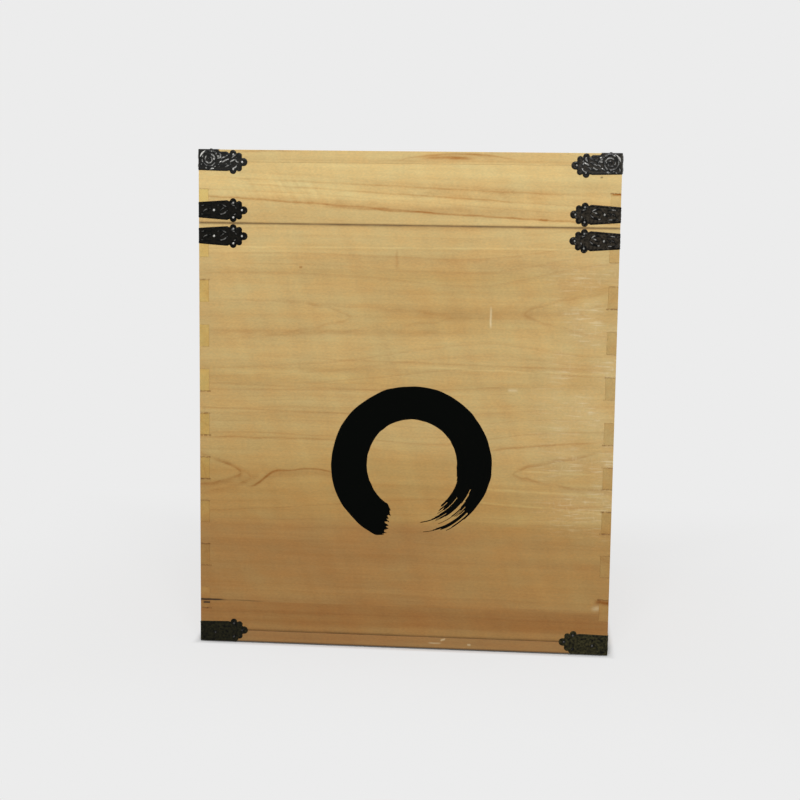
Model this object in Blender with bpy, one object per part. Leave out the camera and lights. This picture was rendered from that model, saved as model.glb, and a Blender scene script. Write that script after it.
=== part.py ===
"""Wooden armor chest: a finger-jointed box with a lift-off lid and pressed iron corner fittings.

Metres, +Z up, with the front towards -Y. The origin lies on the floor under the middle of the chest.
"""
import math

import bmesh
import bpy
from mathutils import Matrix, Vector

# Wooden case
CASE_WIDTH = 0.421
CASE_DEPTH = 0.400
WALL_THICKNESS = 0.0095
BODY_WALL_HEIGHT = 0.421
LID_WALL_HEIGHT = 0.0604
BOTTOM_THICKNESS = 0.0116
LID_TOP_THICKNESS = 0.012
FINGER_PITCH = 0.02275
SHORTEST_FINGER = 0.006

# Strips glued inside the mouth, which locate the lid
STRIP_THICKNESS = 0.006
STRIP_BELOW_SEAM = 0.027
STRIP_ABOVE_SEAM = 0.018
STRIP_CHAMFER = 0.0015

# Clearances
GLUE_GAP = 0.0003
SEAM_GAP = 0.0004
SEAT_GAP = 0.0002

# Iron fittings: a leaf with a tapering arm and a finial of five round lobes
PLATE_THICKNESS = 0.0007
EDGE_ROUNDING = 1.75
EDGE_SEGMENTS = 2
SHOULDER_REACH = 0.0278
NOTCH_PAST_SHOULDER = 0.0020
FINIAL_PAST_SHOULDER = 0.0082
FINIAL_CORE_RADIUS = 0.0082
SIDE_LOBE_REACH = 0.0088
SIDE_LOBE_ANGLE = math.radians(104)
SIDE_LOBE_RADIUS = 0.0034
DIAGONAL_LOBE_REACH = 0.0073
DIAGONAL_LOBE_ANGLE = math.radians(58)
DIAGONAL_LOBE_RADIUS = 0.0031
TIP_LOBE_REACH = 0.0083
TIP_LOBE_RADIUS = 0.0039
FINIAL_SWEEP = math.radians(123)
FINIAL_POINTS = 33

# Corner strap: its arm is even about the centre line
STRAP_ROOT_HALF_WIDTH = 0.0073
STRAP_SHOULDER_HALF_WIDTH = 0.0094
STRAP_NOTCH_HALF_WIDTH = 0.0079
STRAP_TO_SEAM = 0.0008

# Three-way corner cap: distances from the centre line of its leaf
CAP_CENTRE_INSET = 0.0121
CAP_ROOT_LOW = 0.0084
CAP_SHOULDER_LOW = 0.0089
CAP_NOTCH_LOW = 0.0081
CAP_NOTCH_HIGH = 0.0088
CAP_SHOULDER_HIGH = 0.0103
TAB_REACH = 0.0195
TAB_SCALLOP = 0.0022
TAB_SCALLOPS = 3
TAB_POINTS = 19
TAB_SLOPE_LENGTH = 0.002

# Nails that hold the fittings
NAIL_RADIUS = 0.0019
NAIL_CROWN_RADIUS = 0.0011
NAIL_RISE = 0.0009
NAIL_SIDES = 6
ARM_NAIL_REACH = 0.0155
CAP_ARM_NAIL_RISE = 0.003
LOBE_NAIL_SHARE = 0.85
TAB_NAIL_REACH = 0.0105

# Heights that follow from the sizes above
FITTING_PROUD = SEAT_GAP + PLATE_THICKNESS
CASE_FOOT = FITTING_PROUD
WALL_FOOT = CASE_FOOT + BOTTOM_THICKNESS + GLUE_GAP
BODY_TOP = WALL_FOOT + BODY_WALL_HEIGHT
LID_FOOT = BODY_TOP + SEAM_GAP
LID_WALL_TOP = LID_FOOT + LID_WALL_HEIGHT
LID_TOP_FOOT = LID_WALL_TOP + GLUE_GAP
CASE_TOP = LID_TOP_FOOT + LID_TOP_THICKNESS

HALF_WIDTH = CASE_WIDTH / 2
HALF_DEPTH = CASE_DEPTH / 2
FINGER_DEPTH = WALL_THICKNESS + GLUE_GAP
NOTCH_REACH = SHOULDER_REACH + NOTCH_PAST_SHOULDER
FINIAL_REACH = SHOULDER_REACH + FINIAL_PAST_SHOULDER
FINIAL_HALF_WIDTH = SIDE_LOBE_REACH * math.sin(SIDE_LOBE_ANGLE) + SIDE_LOBE_RADIUS
FITTING_REACH = FINIAL_REACH + TIP_LOBE_REACH + TIP_LOBE_RADIUS
SPARE_METAL = PLATE_THICKNESS / 2
WELD_DISTANCE = 0.00001

CORNERS = (
    ("front_left", -1, -1, 0),
    ("front_right", 1, -1, 90),
    ("back_right", 1, 1, 180),
    ("back_left", -1, 1, 270),
)


def remove_everything():
    for leftover in list(bpy.data.objects):
        bpy.data.objects.remove(leftover, do_unlink=True)


def new_collection(name):
    collection = bpy.data.collections.new(name)
    bpy.context.scene.collection.children.link(collection)
    return collection


def new_material(name, colour, roughness, metallic):
    material = bpy.data.materials.new(name)
    material.use_nodes = True
    shader = material.node_tree.nodes["Principled BSDF"]
    shader.inputs["Base Color"].default_value = (*colour, 1.0)
    shader.inputs["Roughness"].default_value = roughness
    shader.inputs["Metallic"].default_value = metallic
    return material


def new_carrier(name, height):
    """An empty that the pieces of one moving group hang from."""
    carrier = bpy.data.objects.new(name, None)
    carrier.location = (0, 0, height)
    parts.objects.link(carrier)
    return carrier


def add_part(name, mesh, material, carrier, place, turn=Matrix.Identity(4)):
    """One named piece of the chest, placed in the chest's own frame."""
    if material.name not in mesh.materials:
        mesh.materials.append(material)
    piece = bpy.data.objects.new(name, mesh)
    piece.parent = carrier
    piece.location = Vector(place) - carrier.location
    piece.rotation_euler = turn.to_euler()
    parts.objects.link(piece)
    return piece


def read_mesh(source):
    """The mesh that an object evaluates to, welded, with its faces pointing out."""
    graph = bpy.context.evaluated_depsgraph_get()
    mesh = bpy.data.meshes.new_from_object(source.evaluated_get(graph))
    shape = bmesh.new()
    shape.from_mesh(mesh)
    bmesh.ops.remove_doubles(shape, verts=shape.verts, dist=WELD_DISTANCE)
    bmesh.ops.recalc_face_normals(shape, faces=shape.faces)
    shape.to_mesh(mesh)
    shape.free()
    return mesh


def plate_mesh(name, outline, bottom, top):
    """A flat outline in X and Y, made solid between two heights."""
    curve = bpy.data.curves.new(name, "CURVE")
    curve.dimensions = "2D"
    curve.fill_mode = "BOTH"
    curve.extrude = (top - bottom) / 2
    spline = curve.splines.new("POLY")
    spline.points.add(len(outline) - 1)
    for point, (across, up) in zip(spline.points, outline):
        point.co = (across, up, 0, 1)
    spline.use_cyclic_u = True
    flat = bpy.data.objects.new(name, curve)
    cutters.objects.link(flat)
    mesh = read_mesh(flat)
    mesh.name = name
    mesh.transform(Matrix.Translation((0, 0, (top + bottom) / 2)))
    bpy.data.objects.remove(flat, do_unlink=True)
    bpy.data.curves.remove(curve)
    return mesh


def box_mesh(name, low, high, bevel_width=0.0, bevel_segments=1, choose_edge=None):
    """A box between two corners, with a bevel on the edges that are chosen, or on all of them."""
    size = Vector(high) - Vector(low)
    middle = (Vector(high) + Vector(low)) / 2
    shape = bmesh.new()
    bmesh.ops.create_cube(shape, size=1.0, matrix=Matrix.Translation(middle) @ Matrix.Diagonal((*size, 1)))
    if bevel_width:
        edges = [edge for edge in shape.edges if choose_edge is None or choose_edge(edge)]
        bmesh.ops.bevel(shape, geom=edges, offset=bevel_width, segments=bevel_segments, profile=0.5,
                        affect="EDGES")
    mesh = bpy.data.meshes.new(name)
    shape.to_mesh(mesh)
    shape.free()
    return mesh


def combine(first, second, operation):
    """The mesh left when two meshes are joined, or one is trimmed by the other."""
    body = bpy.data.objects.new("body_in_work", first)
    tool = bpy.data.objects.new("tool_in_work", second)
    for helper in (body, tool):
        cutters.objects.link(helper)
        helper.hide_render = True
        helper.display_type = "WIRE"
    boolean = body.modifiers.new("combine", "BOOLEAN")
    boolean.operation = operation
    boolean.solver = "EXACT"
    boolean.object = tool
    mesh = read_mesh(body)
    for helper in (body, tool):
        bpy.data.objects.remove(helper, do_unlink=True)
    return mesh


def finger_spans(low, high):
    """Cut a wall into fingers: (bottom, top, whether the finger belongs to a side board)."""
    count = math.ceil((high - WALL_FOOT) / FINGER_PITCH)
    levels = [WALL_FOOT + index * FINGER_PITCH for index in range(count + 1)]
    inner = [level for level in levels if low + SHORTEST_FINGER < level < high - SHORTEST_FINGER]
    bounds = [low, *inner, high]
    spans = []
    for bottom, top in zip(bounds, bounds[1:]):
        index = math.floor(((bottom + top) / 2 - WALL_FOOT) / FINGER_PITCH)
        spans.append((bottom, top, index % 2 == 1))
    return spans


def board_outline(half_length, spans, for_side_board):
    """A board with fingers on both ends, standing on the X axis of its outline."""
    clearance = GLUE_GAP if for_side_board else 0.0
    lowest = spans[0][0]
    highest = spans[-1][1]
    right_end = []
    for bottom, top, is_side_finger in spans:
        stands_out = is_side_finger == for_side_board
        shift = clearance if stands_out else -clearance
        start = bottom if bottom == lowest else bottom + shift
        end = top if top == highest else top - shift
        reach = half_length if stands_out else half_length - FINGER_DEPTH
        right_end += [(reach, start), (reach, end)]
    left_end = [(-across, up) for across, up in reversed(right_end)]
    return right_end + left_end


FACING_FRONT = Matrix.Rotation(math.pi / 2, 4, "X")
FACING_SIDE = Matrix.Rotation(math.pi / 2, 4, "Z") @ FACING_FRONT


def add_wall(group, low, high, material, carrier):
    """Four finger-jointed boards round the case between two heights."""
    spans = finger_spans(low, high)
    half_board = WALL_THICKNESS / 2
    front_outline = board_outline(HALF_WIDTH, spans, False)
    side_outline = board_outline(HALF_DEPTH, spans, True)
    front_mesh = plate_mesh(f"{group}_front_back", front_outline, -half_board, half_board)
    side_mesh = plate_mesh(f"{group}_left_right", side_outline, -half_board, half_board)
    front_place = HALF_DEPTH - half_board
    side_place = HALF_WIDTH - half_board
    add_part(f"{group}_front_board", front_mesh, material, carrier, (0, -front_place, 0), FACING_FRONT)
    add_part(f"{group}_back_board", front_mesh, material, carrier, (0, front_place, 0), FACING_FRONT)
    add_part(f"{group}_left_board", side_mesh, material, carrier, (-side_place, 0, 0), FACING_SIDE)
    add_part(f"{group}_right_board", side_mesh, material, carrier, (side_place, 0, 0), FACING_SIDE)


def add_flat_board(name, foot, thickness, material, carrier):
    """A full-size board that closes the case above or below."""
    mesh = box_mesh(name, (-HALF_WIDTH, -HALF_DEPTH, 0), (HALF_WIDTH, HALF_DEPTH, thickness))
    add_part(name, mesh, material, carrier, (0, 0, foot))


def add_locating_strips(material, carrier):
    """Four strips inside the mouth: half glued to the body, half standing up into the lid."""
    height = STRIP_BELOW_SEAM + STRIP_ABOVE_SEAM
    foot = BODY_TOP - STRIP_BELOW_SEAM
    inner_width = HALF_WIDTH - WALL_THICKNESS - GLUE_GAP
    inner_depth = HALF_DEPTH - WALL_THICKNESS - GLUE_GAP
    side_length = inner_depth - STRIP_THICKNESS - GLUE_GAP

    def is_top_edge(edge):
        return all(vertex.co.z > height / 2 for vertex in edge.verts)

    def strip(name, half_length, place, turn):
        half_strip = STRIP_THICKNESS / 2
        mesh = box_mesh(name, (-half_length, -half_strip, 0), (half_length, half_strip, height),
                        STRIP_CHAMFER, 1, is_top_edge)
        add_part(name, mesh, material, carrier, (*place, foot), turn)

    front_place = inner_depth - STRIP_THICKNESS / 2
    side_place = inner_width - STRIP_THICKNESS / 2
    along_side = Matrix.Rotation(math.pi / 2, 4, "Z")
    strip("locating_strip_front", inner_width, (0, -front_place), Matrix.Identity(4))
    strip("locating_strip_back", inner_width, (0, front_place), Matrix.Identity(4))
    strip("locating_strip_left", side_length, (-side_place, 0), along_side)
    strip("locating_strip_right", side_length, (side_place, 0), along_side)


def finial_lobes():
    """The five lobes as (angle, reach from the finial's centre, radius)."""
    return (
        (-SIDE_LOBE_ANGLE, SIDE_LOBE_REACH, SIDE_LOBE_RADIUS),
        (-DIAGONAL_LOBE_ANGLE, DIAGONAL_LOBE_REACH, DIAGONAL_LOBE_RADIUS),
        (0.0, TIP_LOBE_REACH, TIP_LOBE_RADIUS),
        (DIAGONAL_LOBE_ANGLE, DIAGONAL_LOBE_REACH, DIAGONAL_LOBE_RADIUS),
        (SIDE_LOBE_ANGLE, SIDE_LOBE_REACH, SIDE_LOBE_RADIUS),
    )


def finial_outline():
    """Points round the finial: in each direction, the furthest edge of its core and lobes."""
    points = []
    for index in range(FINIAL_POINTS):
        angle = -FINIAL_SWEEP + 2 * FINIAL_SWEEP * index / (FINIAL_POINTS - 1)
        furthest = FINIAL_CORE_RADIUS
        for lobe_angle, reach, radius in finial_lobes():
            off_line = reach * math.sin(angle - lobe_angle)
            along = reach * math.cos(angle - lobe_angle)
            if abs(off_line) < radius and along > 0:
                furthest = max(furthest, along + math.sqrt(radius ** 2 - off_line ** 2))
        points.append((FINIAL_REACH + furthest * math.cos(angle), furthest * math.sin(angle)))
    return points


def taper(root, shoulder, reach):
    """Width of an arm at a distance from the corner, on a straight line from root to shoulder."""
    return root + (shoulder - root) * reach / SHOULDER_REACH


def strap_leaf_outline(start):
    """One leaf of a strap, from behind the corner to the tip of the finial."""
    root = taper(STRAP_ROOT_HALF_WIDTH, STRAP_SHOULDER_HALF_WIDTH, start)
    low_side = [(start, -root), (SHOULDER_REACH, -STRAP_SHOULDER_HALF_WIDTH),
                (NOTCH_REACH, -STRAP_NOTCH_HALF_WIDTH)]
    high_side = [(across, -up) for across, up in reversed(low_side)]
    return low_side + finial_outline() + high_side


def cap_leaf_outline(start, top):
    """One leaf of a cap: like a strap's, with its upper edge carried up to the tab."""
    root = taper(CAP_ROOT_LOW, CAP_SHOULDER_LOW, start)
    low_side = [(start, -root), (SHOULDER_REACH, -CAP_SHOULDER_LOW), (NOTCH_REACH, -CAP_NOTCH_LOW)]
    high_side = [(NOTCH_REACH, CAP_NOTCH_HIGH), (SHOULDER_REACH, CAP_SHOULDER_HIGH),
                 (TAB_REACH + TAB_SLOPE_LENGTH, CAP_SHOULDER_HIGH), (TAB_REACH, top), (start, top)]
    return low_side + finial_outline() + high_side


def tab_outline(start):
    """The tab over the corner: a quarter disc with a scalloped edge."""
    points = [(start, start), (TAB_REACH, start)]
    for index in range(TAB_POINTS):
        angle = math.pi / 2 * index / (TAB_POINTS - 1)
        swell = (1 - math.cos(4 * TAB_SCALLOPS * angle)) / 2
        reach = TAB_REACH + TAB_SCALLOP * swell
        points.append((reach * math.cos(angle), reach * math.sin(angle)))
    points.append((start, TAB_REACH))
    return points


def trim_to_thickness(mesh, top):
    """Trim plates that were made with spare metal to the plate's thickness, and round the folds."""
    far = 2 * FITTING_REACH
    envelope = box_mesh("fitting_envelope", (-FITTING_PROUD, -FITTING_PROUD, -far), (far, far, top),
                        EDGE_ROUNDING * PLATE_THICKNESS, EDGE_SEGMENTS)
    return combine(mesh, envelope, "INTERSECT")


def folded_leaves(name, outline_from, centre_height):
    """A front leaf along +X and a side leaf along +Y, joined over the corner at the local origin."""
    front_proud = FITTING_PROUD + SPARE_METAL
    side_proud = FITTING_PROUD + 2 * SPARE_METAL
    front_outline = outline_from(-side_proud - 2 * SPARE_METAL)
    side_outline = outline_from(-front_proud - 2 * SPARE_METAL)
    front = plate_mesh(f"{name}_front_leaf", front_outline, SEAT_GAP, front_proud)
    side = plate_mesh(f"{name}_side_leaf", side_outline, -side_proud, -SEAT_GAP)
    lift = Matrix.Translation((0, 0, centre_height))
    front.transform(lift @ FACING_FRONT)
    side.transform(lift @ FACING_SIDE)
    return combine(front, side, "UNION")


def leaf_nail_places(arm_nail_rise):
    """Where nails go through a leaf: on its arm, in both side lobes and in the tip."""
    side_reach = LOBE_NAIL_SHARE * SIDE_LOBE_REACH
    side_along = FINIAL_REACH + side_reach * math.cos(SIDE_LOBE_ANGLE)
    side_across = side_reach * math.sin(SIDE_LOBE_ANGLE)
    tip_along = FINIAL_REACH + LOBE_NAIL_SHARE * TIP_LOBE_REACH
    return ((ARM_NAIL_REACH, arm_nail_rise), (side_along, side_across), (side_along, -side_across),
            (tip_along, 0.0))


def add_nail_head(shape, seat, outward):
    """A low nail head that starts half way into the plate."""
    depth = PLATE_THICKNESS / 2 + NAIL_RISE
    turn = outward.to_track_quat("Z", "Y").to_matrix().to_4x4()
    place = Matrix.Translation(seat + outward * depth / 2)
    bmesh.ops.create_cone(shape, cap_ends=True, segments=NAIL_SIDES, radius1=NAIL_RADIUS,
                          radius2=NAIL_CROWN_RADIUS, depth=depth, matrix=place @ turn)


def with_nails(mesh, centre_height, arm_nail_rise, tab_nail):
    """Join the nail heads to a fitting."""
    half_way = SEAT_GAP + PLATE_THICKNESS / 2
    shape = bmesh.new()
    for reach, rise in leaf_nail_places(arm_nail_rise):
        height = centre_height + rise
        add_nail_head(shape, Vector((reach, -half_way, height)), Vector((0, -1, 0)))
        add_nail_head(shape, Vector((-half_way, reach, height)), Vector((-1, 0, 0)))
    if tab_nail:
        add_nail_head(shape, Vector((TAB_NAIL_REACH, TAB_NAIL_REACH, half_way)), Vector((0, 0, 1)))
    heads = bpy.data.meshes.new("nail_heads")
    shape.to_mesh(heads)
    shape.free()
    return combine(mesh, heads, "UNION")


def strap_mesh():
    """A strap over one upright corner, with the local origin on the wood's edge at its centre line."""
    leaves = folded_leaves("strap", strap_leaf_outline, 0.0)
    return with_nails(trim_to_thickness(leaves, 2 * FITTING_REACH), 0.0, 0.0, False)


def cap_mesh(tab_nail):
    """A cap over a three-way corner, with the local origin on the wood's corner and wood below it."""
    centre_height = -CAP_CENTRE_INSET
    over_tab = FITTING_PROUD + SPARE_METAL
    past_edge = -FITTING_PROUD - SPARE_METAL / 2
    leaf_top = CAP_CENTRE_INSET + FITTING_PROUD + 2 * SPARE_METAL

    def leaf_outline(start):
        return cap_leaf_outline(start, leaf_top)

    leaves = folded_leaves("cap", leaf_outline, centre_height)
    tab = plate_mesh("cap_tab", tab_outline(past_edge), SEAT_GAP, over_tab)
    joined = trim_to_thickness(combine(leaves, tab, "UNION"), FITTING_PROUD)
    return with_nails(joined, centre_height, CAP_ARM_NAIL_RISE, tab_nail)


def add_fittings(kind, mesh, height, material, carrier, flip=Matrix.Identity(4)):
    """The same fitting on all four upright corners of the case."""
    for corner, side, end, degrees in CORNERS:
        place = (side * HALF_WIDTH, end * HALF_DEPTH, height)
        turn = Matrix.Rotation(math.radians(degrees), 4, "Z") @ flip
        add_part(f"{kind}_{corner}", mesh, material, carrier, place, turn)


def build_chest():
    body_wood = new_material("body_boards", (0.45, 0.29, 0.12), 0.55, 0.0)
    lid_wood = new_material("lid_boards", (0.58, 0.41, 0.19), 0.55, 0.0)
    strip_wood = new_material("locating_strips", (0.52, 0.36, 0.17), 0.6, 0.0)
    iron = new_material("black_iron", (0.018, 0.018, 0.017), 0.4, 0.6)

    chest = new_carrier("chest_carrier", 0.0)
    lid = new_carrier("lid_carrier", LID_FOOT)

    add_flat_board("bottom_board", CASE_FOOT, BOTTOM_THICKNESS, body_wood, chest)
    add_wall("body", WALL_FOOT, BODY_TOP, body_wood, chest)
    add_locating_strips(strip_wood, chest)
    add_wall("lid", LID_FOOT, LID_WALL_TOP, lid_wood, lid)
    add_flat_board("lid_top_board", LID_TOP_FOOT, LID_TOP_THICKNESS, lid_wood, lid)

    strap = strap_mesh()
    strap_offset = FINIAL_HALF_WIDTH + STRAP_TO_SEAM
    upside_down = Matrix.Rotation(math.pi, 4, Vector((1, 1, 0)))
    add_fittings("body_strap", strap, BODY_TOP - strap_offset, iron, chest)
    add_fittings("lid_strap", strap, LID_FOOT + strap_offset, iron, lid)
    add_fittings("lid_cap", cap_mesh(True), CASE_TOP, iron, lid)
    add_fittings("base_cap", cap_mesh(False), CASE_FOOT, iron, chest, upside_down)


remove_everything()
parts = new_collection("armor_chest")
cutters = new_collection("armor_chest_cutters")
build_chest()
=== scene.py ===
# %% [markdown]
# # The looks of a wooden armor chest
# The chest is a square box of pale, finger-jointed boards with a lift-off lid and pressed iron
# fittings on its corners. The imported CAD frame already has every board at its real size, so this
# lesson keeps the boards and dresses them, and makes the iron fittings again with the relief that
# a stamping tool leaves. Everything is in metres, +Z is up and the front faces -Y.

# %% Load the frame
import math
from functools import partial

import bmesh
import bpy
import numpy as np
from mathutils import Matrix, Vector


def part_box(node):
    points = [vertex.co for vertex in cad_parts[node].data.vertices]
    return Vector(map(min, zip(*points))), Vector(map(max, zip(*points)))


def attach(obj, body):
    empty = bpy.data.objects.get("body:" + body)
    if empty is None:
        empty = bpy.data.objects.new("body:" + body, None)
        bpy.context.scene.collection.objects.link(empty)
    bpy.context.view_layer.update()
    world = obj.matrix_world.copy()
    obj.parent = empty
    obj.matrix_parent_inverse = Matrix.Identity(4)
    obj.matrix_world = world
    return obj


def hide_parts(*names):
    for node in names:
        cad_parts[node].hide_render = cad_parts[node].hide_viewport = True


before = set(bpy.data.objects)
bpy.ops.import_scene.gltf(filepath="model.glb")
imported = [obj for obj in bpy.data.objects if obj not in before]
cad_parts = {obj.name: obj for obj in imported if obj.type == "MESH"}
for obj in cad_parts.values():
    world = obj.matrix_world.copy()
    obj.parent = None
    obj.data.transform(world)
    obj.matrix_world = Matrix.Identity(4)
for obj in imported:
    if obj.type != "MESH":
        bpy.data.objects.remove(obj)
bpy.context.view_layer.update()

BOTTOM_LOW, BOTTOM_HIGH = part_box("bottom_board")
HALF_WIDTH = BOTTOM_HIGH[0]
HALF_DEPTH = BOTTOM_HIGH[1]
CASE_FOOT = BOTTOM_LOW[2]
CASE_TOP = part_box("lid_top_board")[1][2]
WALL_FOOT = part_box("body_front_board")[0][2]
BODY_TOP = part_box("body_front_board")[1][2]
LID_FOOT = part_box("lid_front_board")[0][2]
print(f"case {2 * HALF_WIDTH:.3f} wide, {2 * HALF_DEPTH:.3f} deep, seam at {BODY_TOP:.4f}")

# %% [markdown]
# ## The camera
# The photograph is taken from in front, a little to the right and just under the height of the
# lid's top, so that only the front shows. A long lens is worked out from the focal length in
# pixels, and three turns in order, sideways, down and a small roll, set the camera as a
# photographer would. One ready-made matrix would hide those three steps.

# %% Camera
PHOTO_SIDE_PIXELS = 800
FOCAL_PIXELS = 1520
SENSOR_MILLIMETRES = 36
CAMERA_PLACE = Vector((0.1275, -1.7187, 0.4597))
CAMERA_TURN = math.radians(4.985)
CAMERA_DOWN = math.radians(7.517)
CAMERA_ROLL = math.radians(0.710)

scene = bpy.context.scene
scene.view_settings.view_transform = "Standard"
camera_data = bpy.data.cameras.new("front_camera")
camera_data.sensor_width = SENSOR_MILLIMETRES
camera_data.lens = SENSOR_MILLIMETRES * FOCAL_PIXELS / PHOTO_SIDE_PIXELS
camera = bpy.data.objects.new("front_camera", camera_data)
scene.collection.objects.link(camera)
sideways = Matrix.Rotation(CAMERA_TURN, 4, "Z")
downwards = Matrix.Rotation(math.pi / 2 - CAMERA_DOWN, 4, "X")
rolled = Matrix.Rotation(CAMERA_ROLL, 4, "Z")
camera.matrix_world = Matrix.Translation(CAMERA_PLACE) @ sideways @ downwards @ rolled
scene.camera = camera
print(f"lens {camera_data.lens:.1f} mm")

# %% [markdown]
# ## Nodes written as sums
# A material is a tree of small nodes, and a wood needs dozens of them. Laying each one out by hand
# hides the idea, so a Wire stands for one node output and each sum on it adds one Math node. A
# group is then a few lines of arithmetic, and reads like the formula that it is.

# %% Wires and groups
NODES_IN_A_ROW = 12
NODE_SPACE = (200, -260)


def feed(tree, socket, value):
    """Give a socket either a plain value or the output that a wire carries."""
    if isinstance(value, Wire):
        tree.links.new(value.socket, socket)
    else:
        socket.default_value = value


class Wire:
    """One node output. Arithmetic on it adds nodes to the tree that it is in."""

    def __init__(self, tree, socket):
        self.tree = tree
        self.socket = socket

    def math(self, operation, *others, clamp=False):
        """One Math node that starts with this wire."""
        node = self.tree.nodes.new("ShaderNodeMath")
        node.operation = operation
        node.use_clamp = clamp
        for socket, value in zip(node.inputs, (self, *others)):
            feed(self.tree, socket, value)
        return Wire(self.tree, node.outputs[0])

    def __add__(self, other):
        return self.math("ADD", other)

    def __sub__(self, other):
        return self.math("SUBTRACT", other)

    def __mul__(self, other):
        return self.math("MULTIPLY", other)

    def __truediv__(self, other):
        return self.math("DIVIDE", other)

    def __abs__(self):
        return self.math("ABSOLUTE")

    def above(self, edge):
        """1 above an edge, 0 below it."""
        return self.math("GREATER_THAN", edge)

    def clamped(self):
        """The same, kept between 0 and 1."""
        return self.math("ADD", 0.0, clamp=True)

    def flipped(self):
        """0 where the wire is 1, and 1 where it is 0."""
        return self * -1.0 + 1.0

    def bell(self):
        """1 where the wire is 0, falling to nothing on both sides."""
        return (self * self * -1.0).math("EXPONENT")

    def near(self, middle, half_width):
        """1 at a middle, falling to nothing on both sides of it."""
        return ((self - middle) / half_width).bell()

    def ramp(self, low, high):
        """A soft step: 0 at low, 1 at high."""
        node = self.tree.nodes.new("ShaderNodeMapRange")
        node.interpolation_type = "SMOOTHSTEP"
        for name, value in (("Value", self), ("From Min", low), ("From Max", high)):
            feed(self.tree, node.inputs[name], value)
        return Wire(self.tree, node.outputs[0])


def node_output(tree, kind, output=0, settings=(), **inputs):
    """Add one node, set its properties and inputs, and carry on from one of its outputs."""
    node = tree.nodes.new(kind)
    for name, value in dict(settings).items():
        setattr(node, name, value)
    for name, value in inputs.items():
        feed(tree, node.inputs[name.replace("_", " ")], value)
    return Wire(tree, node.outputs[output])


def vector(tree, x, y, z):
    """A place from its three parts."""
    return node_output(tree, "ShaderNodeCombineXYZ", X=x, Y=y, Z=z)


def noise(tree, place, detail=2.0, roughness=0.5):
    """Soft noise from 0 to 1 at a place that is already scaled."""
    return node_output(tree, "ShaderNodeTexNoise", Vector=place, Scale=1.0, Detail=detail,
                       Roughness=roughness)


def line_noise(tree, place, scale):
    """Soft noise from 0 to 1 along one line."""
    return node_output(tree, "ShaderNodeTexNoise", 0, {"noise_dimensions": "1D"}, W=place,
                       Scale=scale)


def colour_mix(tree, share, first, second, blend="MIX"):
    """From the first colour to the second by share. A share below 0 goes the other way."""
    node = tree.nodes.new("ShaderNodeMix")
    node.data_type = "RGBA"
    node.blend_type = blend
    node.clamp_factor = False
    sockets = (node.inputs[0], node.inputs[6], node.inputs[7])
    for socket, value in zip(sockets, (share, first, second)):
        feed(tree, socket, value)
    return Wire(tree, node.outputs[2])


def new_group(name, inputs, outputs):
    """A shader node group. A default of 1, 3 or 4 numbers makes a value, a place or a colour."""
    tree = bpy.data.node_groups.new(name, "ShaderNodeTree")
    for title, default in inputs.items():
        numbers = len(default) if isinstance(default, tuple) else 1
        kind = {1: "NodeSocketFloat", 3: "NodeSocketVector", 4: "NodeSocketColor"}[numbers]
        tree.interface.new_socket(title, in_out="INPUT", socket_type=kind).default_value = default
    for title, kind in outputs.items():
        tree.interface.new_socket(title, in_out="OUTPUT", socket_type=f"NodeSocket{kind}")
    inlet = tree.nodes.new("NodeGroupInput")
    outlet = tree.nodes.new("NodeGroupOutput")
    return tree, [Wire(tree, inlet.outputs[title]) for title in inputs], outlet


def put_out(tree, outlet, **values):
    """Connect the group's outputs and spread its nodes into rows that can be read."""
    for title, value in values.items():
        feed(tree, outlet.inputs[title.replace("_", " ")], value)
    for index, node in enumerate(tree.nodes):
        row, place = divmod(index, NODES_IN_A_ROW)
        node.location = (NODE_SPACE[0] * place, NODE_SPACE[1] * row)


def use_group(tree, group, **values):
    """Place a group in a material with its own values, and give its outputs by name."""
    node = tree.nodes.new("ShaderNodeGroup")
    node.node_tree = group
    for title, value in values.items():
        feed(tree, node.inputs[title.replace("_", " ")], value)
    return {output.name: Wire(tree, output) for output in node.outputs}


def new_material(name):
    """A material with one Principled shader, ready for nodes."""
    material = bpy.data.materials.new(name)
    material.use_nodes = True
    tree = material.node_tree
    return material, tree, tree.nodes["Principled BSDF"]


def raise_surface(tree, shader, height, strength, distance):
    """Small relief from a height that changes over the surface."""
    bump = node_output(tree, "ShaderNodeBump", Height=height, Strength=strength, Distance=distance)
    feed(tree, shader.inputs["Normal"], bump)


print("node helpers ready")

# %% [markdown]
# ## Floor and daylight
# The chest stands on a pale grey ground with no visible edge. A photographer would use a paper
# sweep. Here the floor is a round sheet that takes the chest's shadow close by and turns into the
# plain background further out, so the two meet without a line. An even sky gives the daylight.

# %% Stage
BACKGROUND_GREY = 0.8388
FLOOR_REFLECTION = 0.78
SKY_STRENGTH = 0.48
FLOOR_RADIUS = 6.0
FLOOR_SIDES = 96
FLOOR_CLEARANCE = 0.0004
NEAR_SHADOW = 0.75
NEAR_REACH = (0.0015, 0.0100)
WIDE_SHADOW = 0.15
WIDE_REACH = (0.02, 0.40)


def seen_directly(tree):
    """1 for rays that show the background itself: to the eye, off a gloss or through glass."""
    path = tree.nodes.new("ShaderNodeLightPath")
    kinds = ("Camera", "Glossy", "Transmission")
    rays = [Wire(tree, path.outputs[f"Is {kind} Ray"]) for kind in kinds]
    return rays[0].math("MAXIMUM", rays[1]).math("MAXIMUM", rays[2])


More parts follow.
